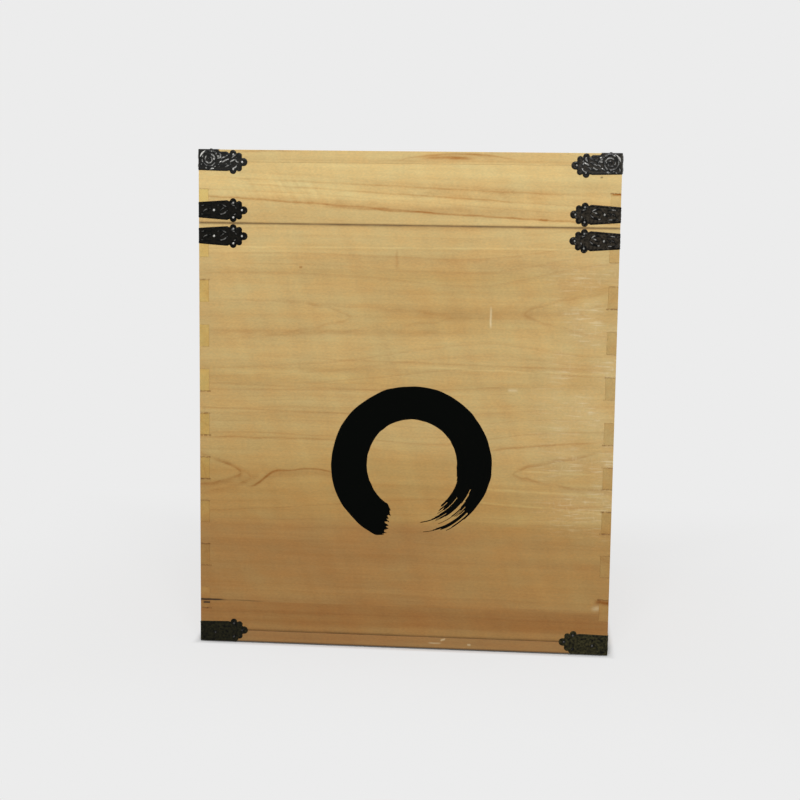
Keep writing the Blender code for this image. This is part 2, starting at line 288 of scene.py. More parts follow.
def floor_material():
    """Matt close to the chest, where its shadow falls, and plain background further out."""
    material = bpy.data.materials.new("pale_floor")
    material.use_nodes = True
    tree = material.node_tree
    tree.nodes.remove(tree.nodes["Principled BSDF"])
    split = tree.nodes.new("ShaderNodeSeparateXYZ")
    feed(tree, split.inputs[0], node_output(tree, "ShaderNodeTexCoord", "Object"))
    beside = abs(Wire(tree, split.outputs[0])) - HALF_WIDTH
    before = abs(Wire(tree, split.outputs[1])) - HALF_DEPTH
    away = beside.math("MAXIMUM", before)
    shadow = away.ramp(*NEAR_REACH[::-1]) * NEAR_SHADOW + away.ramp(*WIDE_REACH[::-1]) * WIDE_SHADOW
    share = seen_directly(tree) * shadow.flipped()
    grey = (BACKGROUND_GREY,) * 3 + (1,)
    matt = node_output(tree, "ShaderNodeBsdfDiffuse", Color=(FLOOR_REFLECTION,) * 3 + (1,))
    plain = node_output(tree, "ShaderNodeEmission", Color=grey, Strength=1.0)
    blend = tree.nodes.new("ShaderNodeMixShader")
    for socket, value in zip(blend.inputs, (share, matt, plain)):
        feed(tree, socket, value)
    tree.links.new(blend.outputs[0], tree.nodes["Material Output"].inputs["Surface"])
    return material


def sky():
    """Even daylight, and the plain background where it is seen directly."""
    world = bpy.data.worlds.new("even_sky")
    world.use_nodes = True
    tree = world.node_tree
    background = tree.nodes["Background"]
    background.inputs["Color"].default_value = (1, 1, 1, 1)
    strength = seen_directly(tree) * (BACKGROUND_GREY - SKY_STRENGTH) + SKY_STRENGTH
    feed(tree, background.inputs["Strength"], strength)
    return world


floor_mesh = bpy.data.meshes.new("floor")
sheet = bmesh.new()
bmesh.ops.create_circle(sheet, cap_ends=True, segments=FLOOR_SIDES, radius=FLOOR_RADIUS)
sheet.to_mesh(floor_mesh)
sheet.free()
floor = bpy.data.objects.new("floor", floor_mesh)
floor.location.z = -FLOOR_CLEARANCE
floor_mesh.materials.append(floor_material())
scene.collection.objects.link(floor)
scene.world = sky()
print("floor and sky ready")

# %% [markdown]
# ## Soft lamps
# One large soft lamp hangs in front and above, so the lid is the brightest and the foot of the
# chest the dimmest. Three more stand low beside and behind the chest, out of the front's sight, so
# that the other walls are no darker than the front. They are area lamps, because the size of one
# sets how soft its shadows are.

# %% Lamps
LAMP_PLACE = Vector((0.08, -1.25, 1.46))
LAMP_AIM = Vector((0.02, -HALF_DEPTH, 0.36))
LAMP_SIZE = (0.50, 0.36)
LAMP_WATTS = 15.6
FILL_DISTANCE = 2.20
FILL_SETBACK = 0.50
FILL_AIM = Vector((0.0, 0.0, 0.30))
FILL_SIZE = (0.80, 0.50)
FILL_WATTS = 19.0


def soft_lamp(name, place, aim, size, watts):
    """A rectangular area lamp that points at a place."""
    data = bpy.data.lights.new(name, "AREA")
    data.shape = "RECTANGLE"
    data.size, data.size_y = size
    data.energy = watts
    lamp = bpy.data.objects.new(name, data)
    lamp.location = place
    lamp.rotation_euler = (aim - place).to_track_quat("-Z", "Y").to_euler()
    scene.collection.objects.link(lamp)


soft_lamp("front_lamp", LAMP_PLACE, LAMP_AIM, LAMP_SIZE, LAMP_WATTS)
for word, x, y in (("left", -HALF_WIDTH - FILL_DISTANCE, FILL_SETBACK),
                   ("right", HALF_WIDTH + FILL_DISTANCE, FILL_SETBACK),
                   ("back", 0.0, HALF_DEPTH + FILL_DISTANCE)):
    soft_lamp(f"{word}_fill_lamp", Vector((x, y, FILL_AIM.z)), FILL_AIM, FILL_SIZE, FILL_WATTS)
print(f"lamp {(LAMP_PLACE - LAMP_AIM).length:.2f} m from the front")

# %% [markdown]
# ## How a tree grows into a board
# The figure on the boards is a cut through nested cones of yearly growth. The nodes do the same:
# they measure how far a point of the board is from the pith of its tree and turn that distance into
# an age in years. Where the pith dips away from the face, the lines close into the long tongues
# that the front shows. It is a solid pattern, so the end grain on the fingers comes with it.

# %% Growth rings
SLOW_BEND = (4.5, 15.0)
QUICK_BEND = (17.0, 55.0)
QUICK_BEND_SHARE = 0.22
UNEVEN_PER_YEAR = 0.8
UNEVEN_YEARS = 1.1
LATE_GROWTH = (0.60, 0.96)
YEAR_END = (0.96, 1.0)
FAINTEST_YEAR = 0.15
BAND_PER_YEAR = 0.42
BAND_PER_METRE = 1.5
BAND_SLICE = 7.0


def growth_rings_group():
    """Yearly lines and broad bands from the distance to a pith that dips at a saddle."""
    titles = {"Along": 0.0, "Up": 0.0, "Through": 0.0, "Seed": 0.0, "Pith Height": 0.0,
              "Pith Depth": 0.02, "Saddle Place": 0.0, "Saddle Rise": 0.0, "Saddle Left": 0.1,
              "Saddle Right": 0.1, "Slope": 0.0, "Ring Gap": 0.011, "Wander": 0.01}
    tree, wires, outlet = new_group("growth_rings", titles, {"Line": "Float", "Band": "Float"})
    along, up, through, seed, pith, depth, saddle, rise, left, right, slope, gap, wander = wires

    def bend(along_scale, cross_scale):
        place = vector(tree, along * along_scale + seed, up * cross_scale, through * cross_scale)
        return noise(tree, place, 1.0) - 0.5

    slow_bend = bend(*SLOW_BEND)
    quick_bend = bend(*QUICK_BEND)
    bent_up = up - along * slope + (slow_bend + quick_bend * QUICK_BEND_SHARE) * wander
    width = along.above(saddle) * (right - left) + left
    dip = along.near(saddle, width) * rise
    away = bent_up - pith
    deep = depth + dip + through
    radius = (away * away + deep * deep).math("SQRT")
    age = radius / gap
    uneven = noise(tree, vector(tree, age * UNEVEN_PER_YEAR, seed, 0.0), 1.0)
    year = age + uneven * UNEVEN_YEARS
    part_of_year = year.math("FRACT")
    strength = node_output(tree, "ShaderNodeTexWhiteNoise", "Value", {"noise_dimensions": "1D"},
                           W=year.math("FLOOR") + seed)
    late_wood = part_of_year.ramp(*LATE_GROWTH) * part_of_year.ramp(*YEAR_END).flipped()
    line = late_wood * (strength * strength * (1.0 - FAINTEST_YEAR) + FAINTEST_YEAR)
    band_place = vector(tree, age * BAND_PER_YEAR + seed, along * BAND_PER_METRE, BAND_SLICE)
    band = noise(tree, band_place, 2.0)
    put_out(tree, outlet, Line=line, Band=band)
    return tree


growth_rings = growth_rings_group()
print(f"growth rings: {len(growth_rings.nodes)} nodes")

# %% [markdown]
# ## Fibre, streaks and shimmer
# Between the yearly lines a softwood board shows hair-fine fibres, longer soft streaks, cloudy
# patches, small blotches of hue, pores, and in places a faint ripple across the grain where the
# fibres wave. All six are noise stretched by different amounts along the grain and across it, so
# one group makes them together.

# %% Fibre
FIBRE_STRETCH = (20.0, 480.0, 3.0)
STREAK_STRETCH = (2.6, 105.0, 3.0)
CLOUD_STRETCH = (7.0, 20.0, 2.0)
BLOTCH_STRETCH = (26.0, 60.0, 3.0)
PORE_STRETCH = (330.0, 620.0, 2.0)
RIPPLE_SLANT = 0.35
RIPPLE_ALONG = 60.0
RIPPLE_CROSS = 9.0


def wood_fibre_group():
    """Six kinds of noise, each stretched along the grain in its own way."""
    titles = {"Along": 0.0, "Up": 0.0, "Through": 0.0, "Seed": 0.0}
    looks = dict.fromkeys(("Fibre", "Streak", "Cloud", "Ripple", "Blotch", "Pore"), "Float")
    tree, (along, up, through, seed), outlet = new_group("wood_fibre", titles, looks)

    def stretched(along_scale, cross_scale, detail):
        place = vector(tree, along * along_scale + seed, up * cross_scale + seed,
                       through * cross_scale)
        return noise(tree, place, detail)

    slanted = along + up * RIPPLE_SLANT
    ripple_place = vector(tree, slanted * RIPPLE_ALONG + seed, up * RIPPLE_CROSS,
                          through * RIPPLE_CROSS)
    put_out(tree, outlet, Fibre=stretched(*FIBRE_STRETCH), Streak=stretched(*STREAK_STRETCH),
            Cloud=stretched(*CLOUD_STRETCH), Ripple=noise(tree, ripple_place, 1.0),
            Blotch=stretched(*BLOTCH_STRETCH), Pore=stretched(*PORE_STRETCH))
    return tree


wood_fibre = wood_fibre_group()
print(f"wood fibre: {len(wood_fibre.nodes)} nodes")

# %% [markdown]
# ## Single lines of grain
# A few lines on the front are so plain that the eye finds them again: a dark streak over the lid, a
# wavy line, a crack near the foot, two pale marks. Each is a bowed stroke with soft ends. Others
# close into a tongue, where the saw has cut through a cone of growth close to its point. One group
# draws a stroke, another a tongue, and a board adds as many as it has. A tongue is sharp inside
# and fades outwards, as summer wood fades into the next spring.

# %% Strokes and tongues
OWN_SHAKE = 31.0
OWN_BREAKS = 77.0
STROKE_SHAKE = 1.8
STROKE_SHAKE_SCALE = 40.0
STROKE_BREAK_SCALE = 30.0
STROKE_BREAK_DEPTH = 1.3
STROKE_LEAST = 0.35
STROKE_ENDS = (1.0, 0.45)
TONGUE_POWER = 0.65
TONGUE_FADE = 1.6
TONGUE_SHAKE = 0.0046
TONGUE_SHAKE_SCALE = 42.0
TONGUE_BREAK_SCALE = 28.0
TONGUE_BREAKS = (0.25, 0.70)
TONGUE_BREAK_DEPTH = 0.9
TONGUE_LEAST = 0.25
UPPER_SIDE_SHIFT = 0.4
TONGUE_TIP = (-0.0040, 0.0015)
TONGUE_PLAIN_SHARE = 0.4


def grain_stroke_group():
    """A bowed line with soft ends, shaken and broken as a pencil line on rough paper is."""
    titles = {"Along": 0.0, "Up": 0.0, "Middle": 0.0, "Height": 0.0, "Half Length": 0.1,
              "Slope": 0.0, "Bow": 0.0, "Half Width": 0.001}
    tree, wires, outlet = new_group("grain_stroke", titles, {"Mask": "Float"})
    along, up, middle, height, half_length, slope, bow, half_width = wires
    run = along - middle
    part = run / half_length
    own_place = along + height * OWN_SHAKE
    shake = (line_noise(tree, own_place, STROKE_SHAKE_SCALE) - 0.5) * half_width * STROKE_SHAKE
    offset = (up - height - run * slope + part * part * bow + shake) / half_width
    breaks = line_noise(tree, along + height * OWN_BREAKS, STROKE_BREAK_SCALE)
    broken = breaks * STROKE_BREAK_DEPTH + STROKE_LEAST
    ends = abs(part).ramp(*STROKE_ENDS)
    put_out(tree, outlet, Mask=offset.bell() * ends * broken)
    return tree


def grain_tongue_group():
    """A line that comes in, turns round at its tip and goes back."""
    titles = {"Along": 0.0, "Up": 0.0, "Tip Along": 0.0, "Tip Up": 0.0, "Slope": 0.0,
              "Spread": 0.05, "Length": 0.2, "Half Width": 0.001}
    tree, wires, outlet = new_group("grain_tongue", titles, {"Mask": "Float"})
    along, up, tip_along, tip_up, slope, spread, length, half_width = wires
    behind = tip_along - along
    half_height = behind.math("MAXIMUM", 0.0).math("POWER", TONGUE_POWER) * spread
    shake = (line_noise(tree, along + tip_up * OWN_SHAKE, TONGUE_SHAKE_SCALE) - 0.5) * TONGUE_SHAKE
    rise = up - tip_up + behind * slope + shake
    aside = abs(rise)
    offset = aside - half_height
    width = half_width * (offset.above(0.0) * TONGUE_FADE + 1.0)
    breaks = line_noise(tree, along + rise.above(0.0) * UPPER_SIDE_SHIFT, TONGUE_BREAK_SCALE)
    broken = breaks.ramp(*TONGUE_BREAKS) * TONGUE_BREAK_DEPTH + TONGUE_LEAST
    ends = behind.ramp(*TONGUE_TIP) * behind.ramp(length, length * TONGUE_PLAIN_SHARE)
    put_out(tree, outlet, Mask=(offset / width).bell() * ends * broken)
    return tree


grain_stroke = grain_stroke_group()
grain_tongue = grain_tongue_group()
print(f"stroke {len(grain_stroke.nodes)} nodes, tongue {len(grain_tongue.nodes)} nodes")

# %% [markdown]
# ## From pattern to finished wood
# The boards are bare, and browner towards the foot. The finish group first mixes two wood colours
# by a broad tone, then lays the grain over it as a thin brown stain that multiplies the colour, so
# a dark line stays the same kind of dark on pale and on brown wood. The ends of the grain have
# their own tint. Dirt and painted gap shade in the joints and pale rubbed scuffs lie on top, and
# the same pattern gives the roughness and the fine relief.

# %% Wood finish
PALE_WOOD = (0.67, 0.520, 0.226, 1)
DEEP_WOOD = (0.305, 0.143, 0.036, 1)
HONEY_WOOD = (1.00, 0.97, 0.83, 1)
GRAIN_STAIN = (0.66, 0.47, 0.33, 1)
RED_BLOTCH = (1.045, 0.955, 0.89, 1)
GREEN_BLOTCH = (0.975, 1.005, 1.05, 1)
PALE_END = (1.02, 1.02, 0.81, 1)
DEEP_END = (0.88, 0.85, 0.80, 1)
DIRT_AND_SHADE_COLOUR = (0.036, 0.021, 0.010, 1)
RUBBED_WOOD = (0.70, 0.58, 0.35, 1)
WOOD_ROUGHNESS = 0.52
HONEY_TONE = 0.60
HONEY_SPREAD = 0.20
CLOUD_TONE = 0.20
STREAK_TONE = 0.12
BLOTCH_HUE = 0.55
HUE_EDGES = (0.34, 0.66)
LINE_STAIN = 0.21
BAND_STAIN = 0.55
STREAK_STAIN = 0.34
FIBRE_STAIN = 0.26
RIPPLE_STAIN = 0.34
PORE_STAIN = 0.62
EVEN_STAIN = 0.12
FIBRE_ROUGHNESS = 0.20
LINE_ROUGHNESS = 0.05
END_ROUGHNESS = 0.12


def wood_finish_group():
    """Colour, roughness and fine relief of bare wood from its pattern, marks, dirt and painted
    shade.
    """
    titles = {"End": PALE_END, "Tone": 0.2, "Line": 0.0, "Band": 0.5, "Fibre": 0.5, "Streak": 0.5,
              "Cloud": 0.5, "Ripple": 0.5, "Blotch": 0.5, "Pore": 0.5, "Marks": 0.0, "Dirt": 0.0,
              "Rubbed": 0.0, "End Grain": 0.0}
    looks = {"Colour": "Color", "Roughness": "Float", "Height": "Float"}
    tree, wires, outlet = new_group("wood_finish", titles, looks)
    end, tone, line, band, fibre, streak, cloud, *others = wires
    ripple, blotch, pore, marks, dirt, rubbed, end_grain = others
    share = tone + (cloud - 0.5) * CLOUD_TONE + (streak - 0.5) * STREAK_TONE
    wood = colour_mix(tree, share.clamped(), PALE_WOOD, DEEP_WOOD)
    honey = share.near(HONEY_TONE, HONEY_SPREAD)
    wood = colour_mix(tree, honey, wood, HONEY_WOOD, "MULTIPLY")
    hue_share = (blotch * BLOTCH_HUE + pore * (1.0 - BLOTCH_HUE)).ramp(*HUE_EDGES)
    hue = colour_mix(tree, hue_share, RED_BLOTCH, GREEN_BLOTCH)
    wood = colour_mix(tree, 1.0, wood, hue, "MULTIPLY")
    figure = line * LINE_STAIN
    for pattern, stain in ((band, BAND_STAIN), (streak, STREAK_STAIN), (fibre, FIBRE_STAIN),
                           (ripple, RIPPLE_STAIN), (pore, PORE_STAIN)):
        figure = figure + (pattern - 0.5) * stain
    figure = figure + marks + EVEN_STAIN
    grained = colour_mix(tree, figure, wood, GRAIN_STAIN, "MULTIPLY")
    ended = colour_mix(tree, end_grain, grained, end, "MULTIPLY")
    dirtied_and_shaded = colour_mix(tree, dirt.clamped(), ended, DIRT_AND_SHADE_COLOUR)
    colour = colour_mix(tree, rubbed.clamped(), dirtied_and_shaded, RUBBED_WOOD)
    roughness = ((fibre - 0.5) * FIBRE_ROUGHNESS + line * LINE_ROUGHNESS + end_grain * END_ROUGHNESS
                 + WOOD_ROUGHNESS)
    height = fibre * 0.5 + streak * 0.5 - line * 0.5
    put_out(tree, outlet, Colour=colour, Roughness=roughness, Height=height)
    return tree


wood_finish = wood_finish_group()
print(f"wood finish: {len(wood_finish.nodes)} nodes")

# %% [markdown]
# ## Planks
# Each panel is glued up from planks of different trees, so a board's wood is a list of planks from
# the lowest up, each with its own pith and lines. Separate pieces would show seams that the glue
# hides. A step in each setting at the height of a joint is all that the eye sees.

# %% Planks
ABOVE_ALL = 9.0


def plank(top=ABOVE_ALL, tone=0.0, pith=0.9, depth=0.05, saddle=0.0, rise=0.0, left=0.15,
          right=0.15, slope=0.0, gap=0.011, wander=0.012):
    """One plank of a panel: where it ends, how its tone differs, and the tree it comes from."""
    return dict(top=top, tone=tone, pith=pith, depth=depth, saddle=saddle, rise=rise, left=left,
                right=right, slope=slope, gap=gap, wander=wander)


def by_plank(up, planks, setting):
    """A setting's value on the plank that a point is on."""
    value = planks[0][setting]
    for lower, upper in zip(planks, planks[1:]):
        if upper[setting] != lower[setting]:
            value = up.above(lower["top"]) * (upper[setting] - lower[setting]) + value
    return value


print(f"a plank has {len(plank())} settings")

# %% [markdown]
# ## The course of tones
# The body is brown at the foot and pale at the mouth, with a browner or paler stretch here and
# there. All its walls share one course of tones, so that the fingers of the side boards match the
# front they lock into. A group holds the course as soft steps, and each wall places it.

# %% Body tones
FOOT_TONE = 0.81
BODY_TONES = ((0.017, 0.025, 0.11), (0.037, 0.055, -0.14), (0.060, 0.100, 0.04),
              (0.122, 0.139, -0.18), (0.148, 0.228, -0.25), (0.215, 0.330, -0.05),
              (0.375, 0.425, -0.14))


def body_tone_group():
    """The body's tone at a height: one soft step after another from the foot."""
    tree, (up,), outlet = new_group("body_tone", {"Up": 0.0}, {"Tone": "Float"})
    tone = FOOT_TONE
    for low, high, change in BODY_TONES:
        tone = up.ramp(low, high) * change + tone
    put_out(tree, outlet, Tone=tone)
    return tree


def body_tone(along, up, across):
    """The course of tones in the material of a wall."""
    return use_group(up.tree, body_tones, Up=up)["Tone"]


body_tones = body_tone_group()
print(f"{len(BODY_TONES)} steps of tone")

# %% [markdown]
# ## Dirt and painted shade in the joints
# Where two boards meet, dirt and painted shade of the gap darken the wood: in patches along the
# seam and the foot, and as short dark lines between the fingers at the ends of a board, some
# strong and some hardly there. Real gaps would be too fine to see, so two groups darken the wood
# along the joints instead.

# %% Joint dirt and painted shade
PATCH_SCALE = 26.0
PATCH_SLICE = (3.0, 8.0)
PATCH_DEPTH = 1.4
PATCH_LEAST = 0.3
FINGER_PITCH = 0.02275
FINGER_LENGTH = 0.0115
FINGER_DIRT_AND_SHADE_WIDTH = 0.0008
FINGER_CHANCE = (0.22, 0.88)
FINGER_MOST = 0.72
LEVEL_SEED = 1.7
END_SEED = 3.0
SIDE_SEED = 7.0
RAGGED_SCALE = 320.0
RAGGED_UP = 60.0
RAGGED_EDGES = (0.35, 0.60)


def joint_dirt_and_shade_group():
    """Dirt and painted gap shade in patches along a joint at one height."""
    titles = {"Along": 0.0, "Up": 0.0, "Height": 0.0, "Half Width": 0.001, "Strength": 0.5}
    tree, wires, outlet = new_group("joint_dirt_and_shade", titles, {"Mask": "Float"})
    along, up, height, half_width, strength = wires
    patches = noise(tree, vector(tree, along * PATCH_SCALE, *PATCH_SLICE), 2.0)
    patchy = patches * PATCH_DEPTH + PATCH_LEAST
    put_out(tree, outlet, Mask=up.near(height, half_width) * patchy * strength)
    return tree


def finger_dirt_and_shade_group():
    """Short lines between the fingers at both ends of a board, each as strong as chance has it."""
    titles = {"Along": 0.0, "Up": 0.0, "Across": 0.0, "Half Length": 0.2}
    tree, wires, outlet = new_group("finger_dirt_and_shade", titles, {"Mask": "Float"})
    along, up, across, half_length = wires
    level = (up - WALL_FOOT) / FINGER_PITCH + 0.5
    off_level = abs(level.math("FRACT") - 0.5) * FINGER_PITCH
    end = along.above(0.0) * END_SEED + across.above(0.0) * SIDE_SEED
    chance = node_output(tree, "ShaderNodeTexWhiteNoise", "Value", {"noise_dimensions": "1D"},
                         W=level.math("FLOOR") * LEVEL_SEED + end)
    at_end = abs(along).above(half_length - FINGER_LENGTH)
    ragged_place = vector(tree, along * RAGGED_SCALE, across * RAGGED_SCALE, up * RAGGED_UP)
    ragged = noise(tree, ragged_place, 2.0).ramp(*RAGGED_EDGES)
    # Dark lines of dirt and painted gap shade between the fingers.
    lines = (off_level / FINGER_DIRT_AND_SHADE_WIDTH).bell() * at_end * ragged
    put_out(tree, outlet, Mask=lines * chance.ramp(*FINGER_CHANCE) * FINGER_MOST)
    return tree


joint_dirt_and_shade = joint_dirt_and_shade_group()
finger_dirt_and_shade = finger_dirt_and_shade_group()
print(f"joint dirt {len(joint_dirt_and_shade.nodes)} nodes, finger dirt {len(finger_dirt_and_shade.nodes)} nodes")

# %% [markdown]
# ## A board's own wood
# One function makes the wood of every board. It reads the place from the object's own coordinates:
# the grain runs along one axis, the board's height is another and its thickness the third. A
# picture laid on each face would break at the edges, but this goes right through the board.

# %% Board wood
AXES = {"x": 0, "y": 1, "z": 2}
PLANK_SEED = 7.7
OTHER_SIDE_SEED = 5.3
END_FACING = (0.6, 0.8)
FOOT_END_RISE = (0.05, 0.27)
FOOT_END_GRAIN = 0.25
OFF_FLAT_RIMS = (0.99, 0.90)
WOOD_GLOSS = 0.20
WOOD_RELIEF = (0.22, 0.0004)
JOINT_STAIN_AND_SHADE = 0.6
FINGER_DIRT_AND_SHADE_LEVEL = 0.50
FINGER_STAIN_AND_SHADE = 0.95


def split_vector(tree, place, axes):
    """The parts of a vector along some axes."""
    split = tree.nodes.new("ShaderNodeSeparateXYZ")
    feed(tree, split.inputs[0], place)
    return [Wire(tree, split.outputs[AXES[axis]]) for axis in axes]


def dirt_and_shade_along_joints(tree, along, up, joints):
    """Dirt and painted gap shade along a board's joints, each given by height, half width and
    strength.
    """
    dirt = up * 0.0
    for height, half_width, strength in joints:
        line = use_group(tree, joint_dirt_and_shade, Along=along, Up=up, Height=height, Half_Width=half_width,
                         Strength=strength)
        dirt = line["Mask"] + dirt
    return dirt


def board_wood(name, axes, face, planks, seed, tone=body_tone, marks=None, dirt=(), two_sides=False,
               fingers=True):
    """Wood for boards whose grain, height and thickness run along the three named axes."""
    material, tree, shader = new_material(name)
    place = split_vector(tree, node_output(tree, "ShaderNodeTexCoord", "Object"), axes)
    along, up, across = place
    through = abs(across) * -1.0 + face
    right_side = across.above(0.0)
    seeds = [dict(top=each["top"], seed=seed + PLANK_SEED * index)
             for index, each in enumerate(planks)]
    own_seed = right_side * (OTHER_SIDE_SEED if two_sides else 0.0) + by_plank(up, seeds, "seed")
    setting = {key: by_plank(up, planks, key) for key in planks[0] if key != "top"}
    rings = use_group(tree, growth_rings, Along=along, Up=up, Through=through, Seed=own_seed,
                      Pith_Height=setting["pith"], Pith_Depth=setting["depth"],
                      Saddle_Place=setting["saddle"], Saddle_Rise=setting["rise"],
                      Saddle_Left=setting["left"], Saddle_Right=setting["right"],
                      Slope=setting["slope"], Ring_Gap=setting["gap"], Wander=setting["wander"])
    fibre = use_group(tree, wood_fibre, Along=along, Up=up, Through=through, Seed=own_seed)
    facing = split_vector(tree, node_output(tree, "ShaderNodeTexCoord", "Normal"), axes)
    clear_of_foot = up.ramp(*FOOT_END_RISE) * (1.0 - FOOT_END_GRAIN) + FOOT_END_GRAIN
    end_grain = abs(facing[0]).ramp(*END_FACING) * clear_of_foot
    # Dirt and painted gap shade along the joints, kept off the flat rims.
    settled_dirt_and_shade = dirt_and_shade_along_joints(tree, along, up, dirt) * abs(facing[1]).ramp(*OFF_FLAT_RIMS)
    looks = {"Dirt": settled_dirt_and_shade, "Marks": settled_dirt_and_shade * JOINT_STAIN_AND_SHADE}
    if fingers:
        half_length = HALF_WIDTH if axes[0] == "x" else HALF_DEPTH
        between = use_group(tree, finger_dirt_and_shade, Along=along, Up=up, Across=across,
                            Half_Length=half_length)["Mask"]
        looks["Dirt"] = looks["Dirt"] + between * FINGER_DIRT_AND_SHADE_LEVEL
        looks["Marks"] = looks["Marks"] + between * FINGER_STAIN_AND_SHADE
    for title, mark in (marks(tree, *place) if marks else {}).items():
        looks[title] = looks[title] + mark if title in looks else mark
    end_tint = colour_mix(tree, right_side, PALE_END, DEEP_END)
    finish = use_group(tree, wood_finish, Tone=tone(*place) + setting["tone"], End=end_tint,
                       End_Grain=end_grain, **looks, **rings, **fibre)
    feed(tree, shader.inputs["Base Color"], finish["Colour"])
    feed(tree, shader.inputs["Roughness"], finish["Roughness"])
    shader.inputs["Specular IOR Level"].default_value = WOOD_GLOSS
    raise_surface(tree, shader, finish["Height"], *WOOD_RELIEF)
    return material


print("board wood ready")

# %% [markdown]
# ## Lines on the front
# The front panel is the face of the chest. Its top plank shows long tongues from both sides that
# meet in a browner saddle, the plank below has a swirl at the left and one more tongue at the
# right, and the two lowest planks are plain. Growth rings alone would put their lines anywhere,
# so the ones that can be told apart are drawn one by one. A stroke's numbers are its middle,
# height, half length, half width and strength.

# %% Front lines
def stroke(tree, along, up, middle, height, half_length, half_width, strength, slope=0.0, bow=0.0):
    """One grain stroke: darker where strength is above 0, paler below."""
    drawn = use_group(tree, grain_stroke, Along=along, Up=up, Middle=middle, Height=height,
                      Half_Length=half_length, Slope=slope, Bow=bow, Half_Width=half_width)
    return drawn["Mask"] * strength


def tongue(tree, along, up, tip_along, tip_up, spread, length, half_width, strength, slope=0.0):
    """One tongue that comes from low values of along and closes at its tip."""
    drawn = use_group(tree, grain_tongue, Along=along, Up=up, Tip_Along=tip_along, Tip_Up=tip_up,
                      Slope=slope, Spread=spread, Length=length, Half_Width=half_width)
    return drawn["Mask"] * strength


def front_lines(tree, along, up):
    """Strokes of the body's front that follow the grain."""
    line = partial(stroke, tree, along, up)
    dark = (line(-0.138, 0.2165, 0.095, 0.0010, 0.40, bow=0.001)
            + line(0.140, 0.2153, 0.075, 0.0011, 0.36, slope=0.095, bow=0.001)
            + line(0.070, 0.3965, 0.170, 0.0060, 0.18, slope=-0.02)
            + line(0.070, 0.3455, 0.120, 0.0050, 0.27, bow=-0.006)
            + line(-0.130, 0.2450, 0.130, 0.0009, 0.22, slope=-0.02)
            + line(-0.120, 0.2700, 0.130, 0.0009, 0.20, slope=-0.02)
            + line(0.040, 0.2960, 0.200, 0.0010, 0.22, slope=-0.02)
            + line(-0.080, 0.3260, 0.180, 0.0030, 0.16, slope=0.01)
            + line(-0.1068, 0.3911, 0.0020, 0.0010, 0.70))
    pale = (line(0.0, 0.4117, 0.260, 0.0009, -0.30, slope=0.006)
            + line(0.145, 0.1673, 0.120, 0.0013, -0.32, slope=-0.031)
            + line(0.143, 0.1513, 0.120, 0.0012, -0.28, slope=-0.066)
            + line(0.155, 0.1880, 0.055, 0.0009, -0.30, slope=-0.030)
            + line(0.120, 0.2900, 0.150, 0.0012, -0.30, slope=-0.02)
            + line(-0.120, 0.2830, 0.110, 0.0045, -0.22, slope=-0.04))
    return dark + pale


def front_tongues(tree, along, up):
    """Tongues that come in from the left and, mirrored, from the right."""
    from_left = partial(tongue, tree, along, up)
    from_right = partial(tongue, tree, along * -1.0, up)
    return (from_left(0.0461, 0.3426, 0.0516, 0.34, 0.0009, 0.17, slope=0.0218)
            + from_left(-0.0568, 0.3426, 0.0950, 0.09, 0.0008, 0.24, slope=0.02)
            + from_right(-0.1189, 0.3480, 0.1120, 0.17, 0.0009, 0.23)
            + from_right(-0.1735, 0.3500, 0.0800, 0.05, 0.0008, 0.22)
            + from_right(-0.1110, 0.1856, 0.0920, 0.16, 0.0009, 0.40, slope=-0.045))


print("front lines and tongues ready")

# %% [markdown]
# ## The eye and the wavy line
# At the left of the front the grain swirls round into an eye, as it does beside a branch. A dark
# line leaves it, climbs steeply and runs on. No single stroke bends like that, so the height of
# the line is a sum of soft steps along the board.

# %% Eye and wave
WAVE_START = 0.1655
WAVE_STEPS = ((-0.159, -0.129, 0.0175), (-0.120, -0.098, 0.0026), (-0.095, -0.040, -0.0095))
WAVE_SHAKE = 0.0010
WAVE_SHAKE_PLACE = (55.0, 5.0, 2.0)
WAVE_HALF_WIDTH = 0.0010
WAVE_STRENGTH = 0.62
WAVE_LEFT_END = (-0.166, -0.152)
WAVE_RIGHT_END = (-0.020, -0.080)
CLIMB_PLACE = -0.144
CLIMB_HALF_LENGTH = 0.013
CLIMB_HALF_WIDTH = 0.0008
CLIMB_STRENGTH = 0.28
SHADE_PLACE = -0.0040
SHADE_HALF_WIDTH = 0.0035
SHADE_START = (-0.148, -0.130)
SHADE_STRENGTH = 0.26


def front_eye(tree, along, up):
    """An eye of grain: a blunt tongue, a fainter one round it and brown shade about both."""
    line = partial(stroke, tree, along, up)
    eye = (tongue(tree, along, up, -0.1680, 0.1800, 0.1250, 0.10, 0.0010, 0.44, slope=-0.03)
           + tongue(tree, along, up, -0.1580, 0.1745, 0.1350, 0.08, 0.0012, 0.26, slope=-0.06))
    shade = (line(-0.1960, 0.1690, 0.026, 0.0034, 0.30) + line(-0.1610, 0.1740, 0.016, 0.0055, 0.26)
             + line(-0.1890, 0.1840, 0.014, 0.0012, 0.16, slope=-0.2))
    return eye + shade


